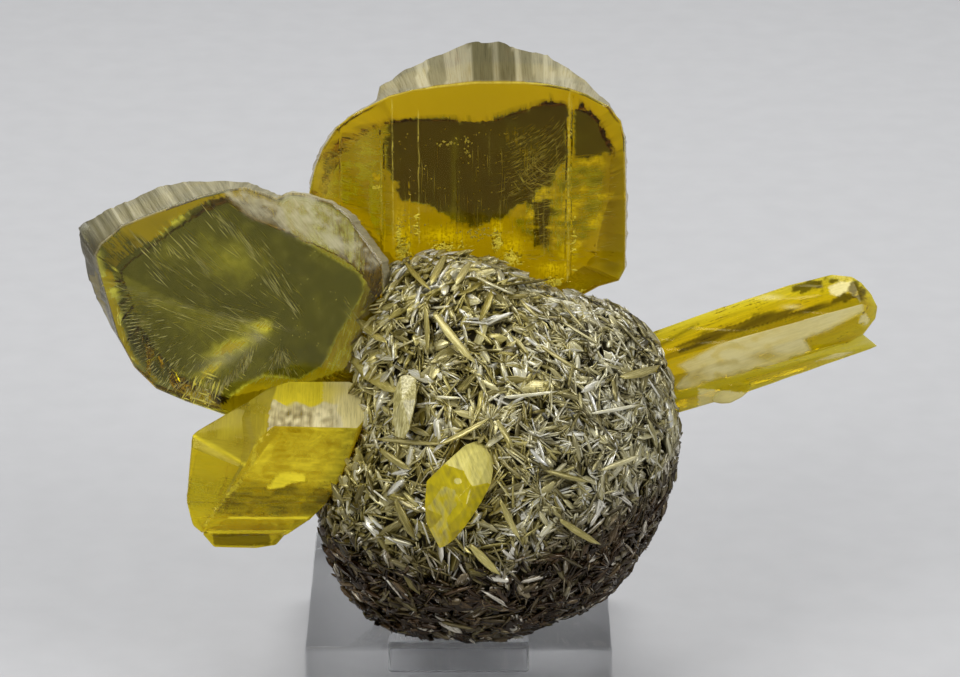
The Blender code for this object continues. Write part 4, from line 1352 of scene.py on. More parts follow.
def build_right():
    def zones(p, n):
        u, v, w = p
        if n.z < -0.05:                        # the hidden side, lit from behind
            return 0.0, 0.66, 0.20, 0.12
        wobble = noise.noise(Vector((u * 0.12, v * 0.3, 1.0)))
        along, across = 0.94 * u + 0.33 * v, 0.94 * v - 0.33 * u
        streak = noise.noise(Vector((along * 0.10, across * 1.3, 2.0)))
        chip = noise.noise(Vector((along * 0.5, across * 1.5, 5.0)))
        if n.y > 0.25 and n.z > -0.05 and v > 20:      # the upper facet
            # Painted shade: dark streaks and spots seen through the upper facet.
            e = edge_distance((u, v), RIGHT_PAINTED_DARK)
            painted_dark = (0.86 + 0.5 * streak) * smooth(0.6, -0.3, e + 1.5 * streak)
            for cx, cy, rx, ry, much in ((77.2, 39.9, 4.2, 1.3, 1.0), (84.0, 41.4, 1.3, 0.6, 0.9),
                                         (88.4, 39.5, 2.1, 1.9, 1.0), (86.4, 37.3, 3.4, 1.1, 1.0),
                                         (90.6, 38.2, 1.3, 2.2, 0.8)):
                dv = v - cy - 0.30 * (u - cx)
                painted_dark = max(painted_dark, much * smooth(0.30, 0.66, spot(u - cx, dv, 0, 0, rx, ry)
                                                 + 0.60 * chip))
            painted_dark = max(painted_dark, 0.55 * spot(v - 25.4 - 0.54 * (u - 40.4), 0, 0, 0, 0.5, 1)
                        * smooth(50, 48.5, u))
            pale = 0.92 * smooth(0.25, -0.25, edge_distance((u, v), RIGHT_PALE) + 0.4 * chip)
            glow = 0.5 * max(spot(u, v, 67.8, 37.3, 3, 0.6), spot(u, v, 73.1, 34.9, 2, 0.5))
            return 0.0, 0.0, max(pale, glow), min(1.0, max(0.0, painted_dark)) * (1 - pale)
        white = smooth(0.5, -0.9, edge_distance((u, v), RIGHT_WHITE)
                       + (0.8 * wobble + 0.4 * chip) * smooth(2.0, 5.0, 26.6 + 0.29 * (u - 58.5) - v))
        yellow = spot(u, v, 66.5, 22.5, 3.5, 1.2) + 0.7 * spot(u, v, 49, 17.5, 3, 1.4) \
            + 0.5 * smooth(0.05, 0.4, noise.noise(Vector((u * 0.3, v * 0.5, 6.0)))) \
            * smooth(76, 60, u)
        lens = 0.8 * smooth(0.3, -0.3, edge_distance((u, v), RIGHT_LENS))
        flap = 0.65 if v < 14.5 - 0.1 * (u - 52) and 50 < u < 66 and v < 15 else 0.0
        tip = 0.85 * smooth(0.35, 0.6, spot(u, v, 91.4, 31.8, 1.5, 1.3) + 0.4 * chip)
        return 0.0, 0.0, min(0.95, max(0.95 * white * (1 - 0.75 * min(1, yellow)),
                                       lens, flap, tip)), 0.10

    def shift(p, n):
        return -0.05 * smooth(0.3, 0.7, noise.noise(Vector((p.x * 0.05, p.y * 0.45, 4))) + 0.5)

    def grain_at(p, n):
        return -0.33 * p.x + 0.94 * p.y, 0.94 * p.x + 0.33 * p.y, p.z * 0.5

    ob = stubby("crystal_right_visible", (RIGHT_MAIN, RIGHT_UNDER, RIGHT_FLAP),
                crystal_material("honey_gypsum_right", (0.945, 0.90, 0.0), 420.0,
                                 (0.05, 0.045, 0.01), haze=(0.86, 0.78, 0.40), haze_low=0.72,
                                 gold=(0.90, 0.76, 0.06)),
                zones, shift=shift, grain_at=grain_at, longest=0.9)
    piece(ob, "honey_crystal", "crystal_right")
    return ob


SMALL_GLOW = ((-56.6, -9.7), (-53.3, -5.8), (-46.9, -5.8), (-46.7, -7.8), (-49.6, -8.3),
              (-52.3, -9.3), (-55.4, -9.9))
SMALL_PALE = ((-58.5, 2.5), (-52.5, 2.8), (-55.5, -3.0), (-57.8, -7.5), (-60.8, -6.0))
SMALL_GREY = ((-61.5, 12.4), (-56.0, 12.6), (-52.0, 10.6), (-54.4, 7.6))
SMALL_SEAM = ((-53.6, 7.7), (-59.2, 0.5), (-59.7, -4.0), (-66.0, -11.5), (-72.5, -19.5))


def build_small():
    seam = [(a[0] + (b[0] - a[0]) * k / 8, a[1] + (b[1] - a[1]) * k / 8)
            for a, b in zip(SMALL_SEAM, SMALL_SEAM[1:]) for k in range(8)]

    def zones(p, n):
        u, v, w = p
        wobble = noise.noise(Vector((u * 0.25, v * 0.25, 3.0)))
        if n.z < 0.12 and n.y < 0.5:           # the hidden side
            # Painted shade: a darker band low on the hidden side.
            dark = 0.7 * smooth(-4, -9, v) * smooth(-16, -13, v)
            return 0.0, 0.74 - 0.34 * dark, 0.35, 0.6 * dark
        near = min(math.hypot(u - a, v - b) for a, b in seam)
        if n.y > 0.08 and u < -57.5 + 0.3 * (v - 5) and n.z < 0.97:
            edge = 0.5 * spot(v - 3.5 + 0.55 * (u + 75), 0, 0, 0, 0.35, 1)
            return 0.0, 0.0, min(0.9, 0.52 + edge + 0.25 * wobble), max(0.0, 0.42 - edge)
        if n.y > 0.5:                          # caps of the two twins
            blotch = noise.noise(Vector((u * 0.8, w * 0.5, 15.0)))
            if u > -43.0:
                right = smooth(-42.0, -38.0, u + 2.5 * wobble)
                high = smooth(9.0, 11.5, v + 1.5 * wobble)
                lit = spot(u, 0, -43.2, 0, 1.8, 1)
                pale = max(0.40, min(1.0, 0.66 + 0.5 * blotch + 0.3 * lit))
                want = 0.70 + 0.27 * right
                return pale + (want - pale) * max(high, right), 0.0, \
                    0.30 + (want - 0.30 - 0.05 * right) * max(right, high), \
                    max(0.0, 0.22 - 0.6 * blotch - 0.3 * lit) * (1 - max(right, high))
            if edge_distance((u, v + 0.4 * wobble), SMALL_GREY) < 0:
                return min(1.0, 0.72 + 0.5 * blotch), 0.0, 0.30, 0.12
            if u > (-60 if v > 10.0 else -56):
                high = smooth(9.0, 11.5, v + 1.5 * wobble)
                lit = spot(u, 0, -43.2, 0, 1.8, 1)
                pale = max(0.40, min(1.0, 0.64 + 0.5 * blotch + 0.4 * lit))
                return pale * (1 - high) + 0.66 * high, 0.0, 0.30 + 0.42 * high, \
                    max(0.0, 0.24 - 0.6 * blotch - 0.3 * lit) * (1 - high) + 0.05 * high
            return 0.0, 0.0, 0.62 + 0.3 * spot(u, v, -60.5, 1.0, 2.5, 2.0), 0.34
        if near < 0.42 + 0.45 * wobble and v < 3:      # the ragged seam
            return 0.0, 0.0, 0.75, 0.3
        haze = 0.0
        for at, lo, hi in ((-17.0, -66.0, -46.5), (-20.4, -71.0, -50.0)):
            if abs(v - at) < 0.3 and lo < u < hi:
                haze = 0.8
        if v < -21.0:                          # the window of the foot
            return 0.0, 0.0, haze, 0.8 if -70 < u < -56 and v > -24 else 0.1
        inner = u > -60 + (v + 4) * 0.8
        edge = edge_distance((u + 0.3 * wobble, v + 0.5 * wobble), SMALL_GLOW)
        glow = smooth(0.25, -0.25, edge) if inner else 0.0
        pale = (0.66 + 0.4 * noise.noise(Vector((u * 0.5, v * 0.6, 16.0)))) \
            * smooth(1.0, -1.6, edge_distance((u + wobble, v), SMALL_PALE)) if inner else 0.0
        ripple = noise.noise(Vector((u * 0.20 + 1.5 * wobble, v * 1.5, 8.0)))
        fine = noise.noise(Vector((u * 0.30, v * 3.2, 9.0)))
        face = smooth(-9.6, -8.2, v + 0.12 * (u + 50))
        base = (0.38 + 0.36 * ripple + 0.22 * fine + 0.16 * smooth(-50, -38, u)
                + 0.35 * spot(u, v, -47.5, -3.6, 5.0, 1.5)) * face if inner else 0.30
        if inner and face < 1:
            base = max(base, 0.20 + 0.30 * fine)
        # Painted shade: darkness seen through the front face, in ripples.
        painted_dark = (0.34 + 0.55 * ripple + 0.35 * fine) \
            * smooth(-8.6, -10.2, v + 1.5 * wobble + 0.12 * (u + 50)) \
            * smooth(-16.6, -15.6, v) if inner else 0.10
        return 0.0, 0.0, min(1.0, max(haze, glow, pale, base)), max(0.0, painted_dark) * (1 - glow)

    cuts = (((0, -17.0, 0), (0, 1, 0)), ((0, -20.4, 0), (0, 1, 0)),
            ((0, -13.2, 0), (0, 1, 0)), ((0, -9.8, 0), (0, 1, 0.1)))

    def shift(p, n):
        if n.z < 0.2 or n.y > 0.6:
            return 0.0
        u, v = p.x, p.y
        near = min(math.hypot(u - a, v - b) for a, b in seam)
        rough = noise.noise(Vector((u * 1.3, v * 1.3, 0))) * 0.35 * smooth(1.8, 0.6, near)
        return (-0.28 * smooth(-13.0, -13.4, v) + 0.30 * smooth(-16.8, -17.2, v)
                - 0.30 * smooth(-20.2, -20.6, v) + rough
                + 0.16 * noise.noise(Vector((u * 0.15, v * 0.9, 9))) * smooth(-8, -10, v)
                + 1.3 * smooth(0.3, -0.3, edge_distance((u, v), SMALL_GLOW)) * smooth(-5.6, -9.6, v))

    def grain_at(p, n):
        if n.y > 0.5:
            return p.x, p.z, 0.0
        return p.y + 0.12 * p.x, p.x, 5.0

    ob = stubby("crystal_left_small_visible", (SMALL_PRISM, SMALL_BLOCK, SMALL_FOOT),
                crystal_material("honey_gypsum_small", (0.955, 0.915, 0.0), 420.0,
                                 (0.10, 0.085, 0.01), haze=(1.0, 0.83, 0.045), haze_low=0.65,
                                 pearl=(0.88, 0.79, 0.45), gold=(1.0, 0.80, 0.03),
                                 mirror=(0.58, 0.48, 0.12)),
                zones, cuts=cuts, shift=shift, grain_at=grain_at, longest=0.9)
    piece(ob, "honey_crystal", "crystal_left_small")
    return ob


def build_front():
    facets = (          # outline, pearly or not, dark
        (((-7.5, 2.3), (-4.2, 4.7), (1.7, 2.1), (0.7, -5.8), (-2.5, -7.4), (-6.2, -8.0),
          (-8.1, -4.4), (-12.6, -2.9)), True, 0.0),
        (((-12.6, -2.9), (-8.1, -4.4), (-6.2, -8.0), (-7.5, -12.5), (-10.3, -8.6),
          (-13.2, -7.8), (-15.7, -11.7), (-19.1, -12.5), (-18.9, -7.0)), False, 0.12),
        (((-10.3, -8.6), (-9.1, -11.6), (-12.2, -15.7), (-15.9, -14.1), (-15.7, -11.7),
          (-13.2, -7.8)), 0.5, 0.10),
        (((-9.1, -11.6), (-7.5, -12.5), (-6.2, -14.5), (-7.1, -17.7), (-11.2, -19.2),
          (-12.2, -15.7)), False, 0.0),
        (((-6.2, -8.0), (-2.5, -7.4), (-1.2, -10.8), (-6.2, -16.7), (-7.5, -12.5)), False, 0.16),
        (((-15.9, -14.1), (-13.2, -15.1), (-15.3, -17.7), (-19.1, -17.5)), False, 0.40),
        (((-13.2, -15.1), (-12.2, -15.7), (-11.2, -19.2), (-11.8, -24.8), (-15.0, -24.0),
          (-17.3, -20.4), (-15.3, -17.7)), 0.5, 0.0),
        (((-11.2, -19.2), (-7.1, -17.7), (-6.0, -16.7), (-4.0, -19.0), (-11.0, -25.0)), False, 0.26))

    def zones(p, n):
        u, v, w = p
        if n.z < 0:
            return 0.0, 0.0, 0.9, 0.0
        wobble = noise.noise(Vector((u * 0.9, v * 0.9, 41.0))) * 0.12
        near = min(facets, key=lambda f: edge_distance((u + wobble, v + wobble * 0.5), f[0]))
        # Painted highlights: a glint spot and bright lines along two facet edges (ridge, below), which
        # lift the pearl and clear the dark.
        painted_glint = smooth(0.35, 0.60, spot(u, v, -9.5, -6.7, 1.25, 0.95))
        ridge = spot(u - 0.15 * (v + 4), 0, -5.6, 0, 0.3, 1) * smooth(-9, -7, v)
        below = spot(u - 0.28 * (v + 10), 0, -6.9, 0, 0.25, 1) * smooth(-8, -9, v) \
            * smooth(-13, -11.5, v)
        cloud = noise.noise(Vector((u * 1.1, v * 0.5, 43.0)))
        bright = max(painted_glint, smooth(0.30, 0.60, max(ridge, below) + 0.3 * cloud))
        # The dark is painted shade seen through each facet.
        dark = max(0.0, near[2] + 0.5 * cloud) * (1 - bright)
        if near[1] == 0.5:
            return min(1.0, 0.79 + 0.10 * cloud + 0.2 * bright), 0.0, 0.78, \
                dark * 0.6 + max(0.0, 0.3 * cloud)
        if near[1]:
            return min(1.0, max(0.84, 0.92 + 0.2 * cloud) + bright * 0.3), 0.0, 0.78, \
                dark * 0.6 + max(0.0, 0.25 * cloud)
        return bright, 0.0, 0.78 + 0.14 * max(0.0, cloud), dark

    ob = stubby("crystal_front_small_visible", (FRONT_CRYSTAL,),
                crystal_material("honey_gypsum_front", (0.96, 0.92, 0.0), 420.0,
                                 (0.30, 0.24, 0.02), haze=(0.93, 0.75, 0.02), white_most=0.84,
                                 haze_low=0.62, pearl=(0.88, 0.78, 0.22)),
                zones, bevel=0.12, longest=0.42, wave=0.0,
                grain_at=lambda p, n: (p.x * 0.34 + p.y * 0.14, p.y * 0.8, 0.0), angle=5)
    piece(ob, "honey_crystal", "crystal_front_small")
    return ob


def build_tablet():
    ob = stubby("crystal_tablet_visible", (TABLET,), pearl_material(),
                lambda p, n: (0, 0, 0, 0), bevel=0.25, longest=1.2)
    piece(ob, "pearl_crystal", "crystal_tablet")
    return ob


# ===================================================================== ball
def build_core():
    bm = bmesh.new()
    bmesh.ops.create_icosphere(bm, subdivisions=6, radius=1.0)
    for v in bm.verts:
        d = v.co.normalized()
        rough = noise.noise(d * 11.0) * 0.7 + noise.noise(d * 30.0) * 0.4
        v.co = leaned(d * (ball_radius(d) - 4.6 + rough))
        floor_z = BLOCK_H - POCKET_DEPTH + 0.6
        if v.co.z < floor_z + 2:
            v.co.z = floor_z + 2 + (v.co.z - floor_z - 2) * 0.1
        v.co *= MM
    me = bpy.data.meshes.new("blade_ball_core")
    bm.to_mesh(me)
    bm.free()
    me.materials.append(core_material())
    shade(me, 60)
    ob = add_object("blade_ball_core", me)
    piece(ob, "blades", "blade_ball")
    return ob


# unit blades: tips on x, width on y, thickness on z
SLIVER_RIM = ((-0.5, 0.05), (-0.33, 0.36), (0.05, 0.5), (0.34, 0.30), (0.5, -0.04),
              (0.30, -0.38), (-0.06, -0.5), (-0.35, -0.30))
SLIVER_RIDGE = ((-0.33, 0.02), (0.32, -0.02))
CLEAVER_RIM = ((-0.5, -0.22), (-0.46, 0.20), (-0.10, 0.50), (0.28, 0.38), (0.5, -0.10),
               (0.24, -0.42), (-0.18, -0.50))
LEAF_RIM = ((-0.5, 0.06), (-0.16, 0.46), (0.20, 0.5), (0.5, -0.04), (0.17, -0.46), (-0.22, -0.5))


def sliver_mesh():
    """A long spindle with one ridge on each side."""
    v = [(x, y, 0.0) for x, y in SLIVER_RIM]
    v += [(x, y, 0.5) for x, y in SLIVER_RIDGE]
    v += [(x, y, -0.5) for x, y in SLIVER_RIDGE]
    near = [0 if x < 0 else 1 for x, y in SLIVER_RIM]
    tri = []
    for side in (0, 1):
        base = 8 + 2 * side
        for i in range(8):
            j = (i + 1) % 8
            a, b = near[i], near[j]
            t = [(i, j, base + b)]
            if a != b:
                t.append((i, base + b, base + a))
            for f in t:
                tri.append(f if side else tuple(reversed(f)))
    return np.array(v), np.array(tri)


def leaf_mesh(rim):
    """A flat plate with bevelled edges."""
    n = len(rim)
    v = [(x, y, 0.0) for x, y in rim]
    v += [(x * 0.88, y * 0.76, 0.5) for x, y in rim]
    v += [(x * 0.88, y * 0.76, -0.5) for x, y in rim]
    tri = []
    for side in (1, 2):
        for i in range(n):
            j = (i + 1) % n
            quad = [(i, j, side * n + j), (i, side * n + j, side * n + i)]
            tri += quad if side == 2 else [tuple(reversed(q)) for q in quad]
        cap = [(side * n, side * n + k, side * n + k + 1) for k in range(1, n - 1)]
        tri += cap if side == 2 else [tuple(reversed(q)) for q in cap]
    return np.array(v), np.array(tri)


def random_unit(rng):
    z = rng.uniform(-1, 1)
    a = rng.uniform(0, math.tau)
    r = math.sqrt(1 - z * z)
    return Vector((r * math.cos(a), r * math.sin(a), z))


def within(tree, q):
    """Whether a point is inside a closed mesh, by two rays."""
    for way in (Vector((0.31, -0.87, 0.38)), Vector((-0.52, 0.21, 0.83))):
        way = way.normalized()
        hits, o = 0, q
        for _ in range(60):
            loc = tree.ray_cast(o, way)[0]
            if loc is None:
                break
            hits += 1
            o = loc + way * 2e-6
        if hits % 2 == 0:
            return False
    return True


# the ball's most noticeable blades: leaned ends, width, tone and silver
BIG_BLADES = (
    ((-15.4, 33.2, 33.5), (-5.5, 20.9, 41.0), 3.0, 0.66, 0.1),
    ((-35.8, 22.0, 13.5), (-23.8, 13.6, 35.5), 4.2, 0.60, 0.0),
    ((-13.6, 1.8, 42.4), (-1.9, 8.0, 44.4), 1.8, 0.62, 0.1),
    ((-29.7, 2.9, 30.0), (-13.6, 1.8, 42.2), 1.5, 0.60, 0.2),
    ((-5.5, 42.2, 23.5), (3.8, 37.8, 25.6), 2.6, 0.88, 0.4),
    ((-4.0, 31.5, 34.8), (-1.4, 38.8, 27.3), 3.0, 0.50, 0.0),
    ((-16.8, 24.3, 37.4), (-17.6, 35.6, 30.5), 2.0, 0.55, 0.1),
    ((-34.5, 32.1, 9.0), (-27.1, 25.9, 28.5), 3.0, 0.62, 0.0),
    ((30.0, 17.5, 32.2), (39.8, 20.3, 18.8), 3.2, 0.48, 0.3),
    ((0.4, 40.0, 24.6), (12.8, 41.7, 8.8), 2.2, 0.30, 0.2),
    ((10.4, 25.2, 35.3), (19.1, 19.7, 37.0), 2.2, 0.50, 0.3),
    ((0.3, 13.0, 43.5), (14.4, 14.4, 41.0), 1.3, 0.90, 0.6),
    ((-15.3, 13.2, 40.9), (-8.6, 12.8, 43.3), 1.2, 0.85, 0.5),
    ((5.5, 36.4, 25.8), (9.8, 32.0, 28.6), 1.8, 0.70, 0.2),
    ((15.2, 31.5, 27.5), (24.8, 25.4, 30.7), 1.7, 0.62, 0.6),
    ((-0.2, 7.6, 44.6), (3.6, 1.1, 45.0), 1.8, 0.58, 0.2),
    ((22.1, 9.1, 39.4), (34.5, 11.1, 29.4), 1.4, 0.85, 0.7),
    ((11.3, -4.4, 43.4), (22.1, -7.4, 39.0), 1.7, 0.55, 0.3),
    ((0.5, -11.6, 43.6), (5.3, -21.3, 39.7), 1.8, 0.60, 0.1),
    ((24.6, -4.6, 38.0), (34.5, -1.2, 30.5), 1.6, 0.70, 0.5),
    ((-28.4, 0.1, 32.4), (-21.1, -4.5, 40.1), 1.9, 0.45, 0.2),
    ((-24.7, -11.8, 37.7), (-19.9, -21.4, 37.9), 2.2, 0.40, 0.2),
    ((-6.7, 45.8, 17.2), (-10.3, 40.0, 27.1), 2.0, 0.72, 0.2),
    ((-12.9, 47.6, 13.3), (-16.4, 40.0, 26.6), 1.9, 0.66, 0.1),
    ((-22.7, 45.8, 13.8), (-16.4, 38.8, 27.8), 2.0, 0.55, 0.0),
    ((15.3, 36.4, 18.8), (21.2, 29.1, 28.4), 1.9, 0.60, 0.5),
    ((-6.7, -22.5, 39.8), (0.5, -29.9, 35.8), 2.2, 0.62, 0.0),
    ((14.9, -16.5, 39.5), (24.8, -22.9, 31.0), 2.0, 0.55, 0.2),
)


def build_blades(trees):
    rng = random.Random(404)
    shapes = (sliver_mesh(), leaf_mesh(LEAF_RIM), leaf_mesh(CLEAVER_RIM))
    centres = [random_unit(rng) for _ in range(150)]
    way = [rng.uniform(0, math.tau) for _ in centres]
    kind = [rng.random() for _ in centres]
    blades = []                 # (shape, axes, position, length, wide, thick, bow, tone)
    boxes = []
    for tree, slack, lo, hi in trees:
        boxes.append((tree, slack, [c - 0.0015 for c in lo], [c + 0.0015 for c in hi]))

    def keep_out(p):
        """True where a blade would stand inside a crystal or the block."""
        x, y, z = p
        if z < BLOCK_H + 0.3:
            half = (POCKET_FRONT_W + (POCKET_BACK_W - POCKET_FRONT_W)
                    * (y - POCKET_FRONT_Y) / (POCKET_BACK_Y - POCKET_FRONT_Y)) / 2
            if z < BLOCK_H - POCKET_DEPTH + 0.5 or abs(x) > half - 0.6 \
                    or not POCKET_FRONT_Y + 0.6 < y < POCKET_BACK_Y - 0.6:
                return True
        q = Vector(p) * MM
        for tree, slack, lo, hi in boxes:
            if any(c < a or c > b for c, a, b in zip(q, lo, hi)):
                continue
            loc, nor, _, dist = tree.find_nearest(q, 0.012)
            if loc is not None and (q - loc).dot(nor) < 0 and dist > slack * MM \
                    and within(tree, q):
                return True
        return False

    def put(shape, pos, a, h, length, wide, thick, bow, tone, seats=(-0.42, 0.42)):
        """Adds a blade at a leaned position with its long and wide axes."""
        h = (h - a * h.dot(a)).normalized()
        b = a.cross(h)
        at = leaned(pos)
        axes = [RIGHT * q.x + UP * q.y + OUT * q.z for q in (a, h, b)]
        if keep_out(at + axes[1] * wide * 0.5):
            return False
        for k in seats:
            if keep_out(at + axes[0] * length * k):
                return False
        blades.append((shape, axes, at, length, wide, thick, bow, tone))
        return True

    def add(shape, n, ang, length, wide, thick, tilt, pitch, sink, bow, tone,
            slide=0.0, along=0.0):
        ref = Vector((0, 0, 1)) if abs(n.z) < 0.9 else Vector((0, 1, 0))
        e1 = n.cross(ref).normalized()
        e2 = n.cross(e1)
        flat = (e1 * math.cos(ang) + e2 * math.sin(ang)).normalized()
        a = (flat + n * math.tan(pitch)).normalized()
        side = a.cross(n).normalized()
        h = (n * math.cos(tilt) + side * math.sin(tilt)).normalized()
        high = abs(math.cos(tilt)) * wide + abs(math.sin(tilt)) * thick
        rise = abs(math.sin(pitch)) * length * 0.40
        pos = n * (ball_radius(n) - sink - high * 0.5 - rise) + side * slide + flat * along
        put(shape, pos, a, h, length, wide, thick, bow, tone)

    def field(n):
        k = max(range(len(centres)), key=lambda i: centres[i].dot(n))
        c = centres[k]
        ref = Vector((0, 0, 1)) if abs(n.z) < 0.9 else Vector((0, 1, 0))
        e1 = n.cross(ref).normalized()
        e2 = n.cross(e1)
        away = n - c
        radial = math.atan2(away.dot(e2), away.dot(e1))
        if kind[k] < 0.45:
            return way[k]
        if kind[k] < 0.8:
            return radial
        return radial + math.pi / 2

    for p0, p1, wide, light, silver in BIG_BLADES:
        p0, p1 = Vector(p0), Vector(p1)
        mid, a = (p0 + p1) / 2, (p1 - p0).normalized()
        n = mid.normalized()
        side = a.cross(n).normalized()
        h = n * math.cos(1.0) + side * math.sin(1.0)
        put(2 if wide > 1.7 else 0, mid, a, h, (p1 - p0).length * 1.05, wide,
            0.5 if wide > 1.7 else 0.7, 0.03, (light - 0.06, 0.0, silver), seats=())

    def foot(n):
        """How much a place belongs to the brown foot of the ball, painted darker: partly a brown tint,
        partly painted shade under the ball.
        """
        up = n.x * RIGHT.z + n.y * UP.z + n.z * OUT.z
        return smooth(-0.09, -0.52, up - 0.34 * max(0.0, n.x) - 0.06 * max(0.0, -n.x))

    def frame_at(n):
        ref = Vector((0, 0, 1)) if abs(n.z) < 0.9 else Vector((0, 1, 0))
        e1 = n.cross(ref).normalized()
        return e1, n.cross(e1)

    # rosettes: fine blades that fan out all round from one point
    hearts = [Vector(h).normalized() for h in ((17.5, 27, 30), (27, 12, 32), (24, 34, 18),
                                               (8, 38, 20), (32, -4, 29), (-24, 30, 22))]
    while len(hearts) < 60:
        h = random_unit(rng)
        if all(h.dot(o) < 0.962 for o in hearts) and rng.random() < 0.55 + 0.45 * h.x:
            hearts.append(h)
    for h in hearts:
        reach = rng.uniform(4.2, 7.2)
        e1, e2 = frame_at(h)
        low = foot(h)
        silver = min(1.0, max(0.1, 0.35 + 0.6 * h.x + rng.gauss(0, 0.2)))
        turn = rng.uniform(0, math.tau)
        span = rng.uniform(3.2, 6.3)
        for ring, many in ((0.55, int(2.6 * span)), (0.85, int(4.4 * span))):
            for k in range(many):
                ang = turn + span * (k + rng.uniform(-0.6, 0.6)) / many
                long = reach * ring * rng.uniform(0.72, 1.12)
                flat = e1 * math.cos(ang) + e2 * math.sin(ang)
                mid = h * (ball_radius(h) - 1.1 - 0.8 * (1 - ring)) + flat * long * 0.56
                n = mid.normalized()
                a = (flat + h * rng.uniform(-0.22, 0.06)).normalized()
                side = a.cross(n).normalized()
                tilt = rng.gauss(0, 0.42)
                put(0, n * (ball_radius(n) - 0.75 - rng.uniform(0, 0.6)), a,
                    n * math.cos(tilt) + side * math.sin(tilt), long,
                    rng.uniform(1.0, 1.7), rng.uniform(0.24, 0.44), rng.gauss(0, 0.04),
                    (min(1.0, max(0.0, rng.gauss(0.58, 0.22))), low, silver))
        turn += 0.2

    golden = math.pi * (3 - math.sqrt(5))
    groups = 8300
    for g in range(groups):
        z = 1 - 2 * (g + 0.5) / groups
        r = math.sqrt(1 - z * z)
        n = Vector((r * math.cos(golden * g), r * math.sin(golden * g), z))
        n = (n + random_unit(rng) * 0.03).normalized()
        low = foot(n)
        right = smooth(-0.1, 0.6, n.x + 0.3 * rng.gauss(0, 0.4))
        size = rng.random()
        big, fan = 0.28 - 0.15 * right, 0.13 + 0.26 * right
        ang = field(n) + rng.gauss(0, 0.65)
        if rng.random() < 0.30:
            ang = rng.uniform(0, math.tau)
        # Painted shade and light: a darker patch in the shadow under the small crystal, darker towards
        # the foot, the lower left and the upper right, lighter on the upper left.
        base = rng.gauss(0.59, 0.25) - 0.16 * spot(n.x, n.y, -0.66, -0.20, 0.20, 0.16) \
            - 0.07 * smooth(0.0, 0.6, n.x) * smooth(-0.2, 0.2, n.y) - 0.13 * low * low \
            + 0.06 * smooth(0.1, -0.4, n.x) * smooth(0.1, 0.4, n.y) \
            - 0.05 * smooth(-0.3, -0.6, n.x) * smooth(0.0, -0.25, n.y)

        # Blades set deeper are painted darker (0.16 per mm of sink): painted shade in the gaps between
        # blades.
        def tone_of(spread=0.10, sink=0.0):
            return (min(1.0, max(0.0, base - 0.16 * sink + rng.gauss(0, spread))),
                    min(1.0, max(0.0, low + rng.gauss(0, 0.12))),
                    min(1.0, max(0.0, 0.12 + 0.6 * right + rng.gauss(0, 0.2))))

        if size < big:                                         # broad leaves
            length, sink = rng.uniform(5.5, 12.0), rng.uniform(-0.35, 0.6)
            add(rng.choice((1, 2, 2)), n, ang, length, length * rng.uniform(0.20, 0.36),
                rng.uniform(0.35, 0.6), rng.choice((-1, 1)) * rng.uniform(0.3, 1.25),
                rng.choice((-1, 1)) * rng.uniform(0.05, 0.42),
                sink, rng.gauss(0, 0.06), tone_of(0.05, sink))
        elif size < big + 0.34:                                # packs of long blades
            many = rng.choice((1, 2, 2, 3))
            length, thick = rng.uniform(5.0, 9.2), rng.uniform(0.32, 0.62)
            wide, tilt, pitch = rng.uniform(1.2, 2.3), rng.gauss(0, 0.60), rng.gauss(0, 0.28)
            for k in range(many):
                o, sink = k - (many - 1) / 2, rng.uniform(-0.3, 0.9)
                add(0, n, ang + o * rng.uniform(0.0, 0.16), length * rng.uniform(0.8, 1.1),
                    wide * rng.uniform(0.85, 1.15), thick * rng.uniform(0.85, 1.15),
                    tilt + o * 0.12, pitch + rng.gauss(0, 0.06),
                    sink, rng.gauss(0, 0.06), tone_of(0.10, sink - 0.4),
                    slide=o * thick * 1.05, along=rng.gauss(0, 0.4))
        elif size < 1 - fan:                                   # packs of short ones
            many = rng.choice((2, 3, 4, 5))
            length, thick = rng.uniform(2.6, 5.2), rng.uniform(0.20, 0.38)
            wide, tilt, pitch = rng.uniform(0.7, 1.3), rng.gauss(0, 0.60), rng.gauss(0, 0.40)
            for k in range(many):
                o, sink = k - (many - 1) / 2, rng.uniform(0.3, 1.9)
                add(0, n, ang + o * rng.uniform(0.0, 0.12), length * rng.uniform(0.75, 1.15),
                    wide * rng.uniform(0.8, 1.2), thick * rng.uniform(0.8, 1.2),
                    tilt + o * 0.10 + rng.gauss(0, 0.08), pitch + rng.gauss(0, 0.08),
                    sink, rng.gauss(0, 0.07), tone_of(0.12, sink - 0.4),
                    slide=o * thick * 1.1, along=rng.gauss(0, 0.5))
        else:                                                  # fans from one point
            many = rng.choice((5, 6, 7, 8, 9))
            length, spread = rng.uniform(2.8, 5.2), rng.uniform(0.9, 2.4)
            sink = rng.uniform(0.25, 1.3) - 0.25 * right
            for k in range(many):
                o = (k - (many - 1) / 2) / many
                long = length * rng.uniform(0.7, 1.1)
                add(0, n, ang + o * spread + rng.gauss(0, 0.06), long,
                    rng.uniform(0.8, 1.3), rng.uniform(0.22, 0.40), rng.gauss(0, 0.5),
                    -0.22 + rng.gauss(0, 0.10), sink + rng.uniform(0, 0.4),
                    rng.gauss(0, 0.05), tone_of(0.14), along=long * 0.46)
    mat = blades_material()
    order = list(range(len(BIG_BLADES), len(blades)))
    rng.shuffle(order)
    order = list(range(len(BIG_BLADES))) + order
    parts = 4
    total = 0
    for part in range(parts):
        mine = [blades[i] for i in order[part::parts]]
        verts, tones, lies, faces = [], [], [], []
        start = 0
        for shape, axes, at, length, wide, thick, bow, tone in mine:
            unit, tris = shapes[shape]
            local = unit.copy()
            local[:, 2] = local[:, 2] * thick + bow * length * (0.25 - local[:, 0] ** 2) * 2
            local[:, 0] *= length
            local[:, 1] *= wide
            verts.append(local @ np.array([axes[0], axes[1], axes[2]]) + np.array(at))
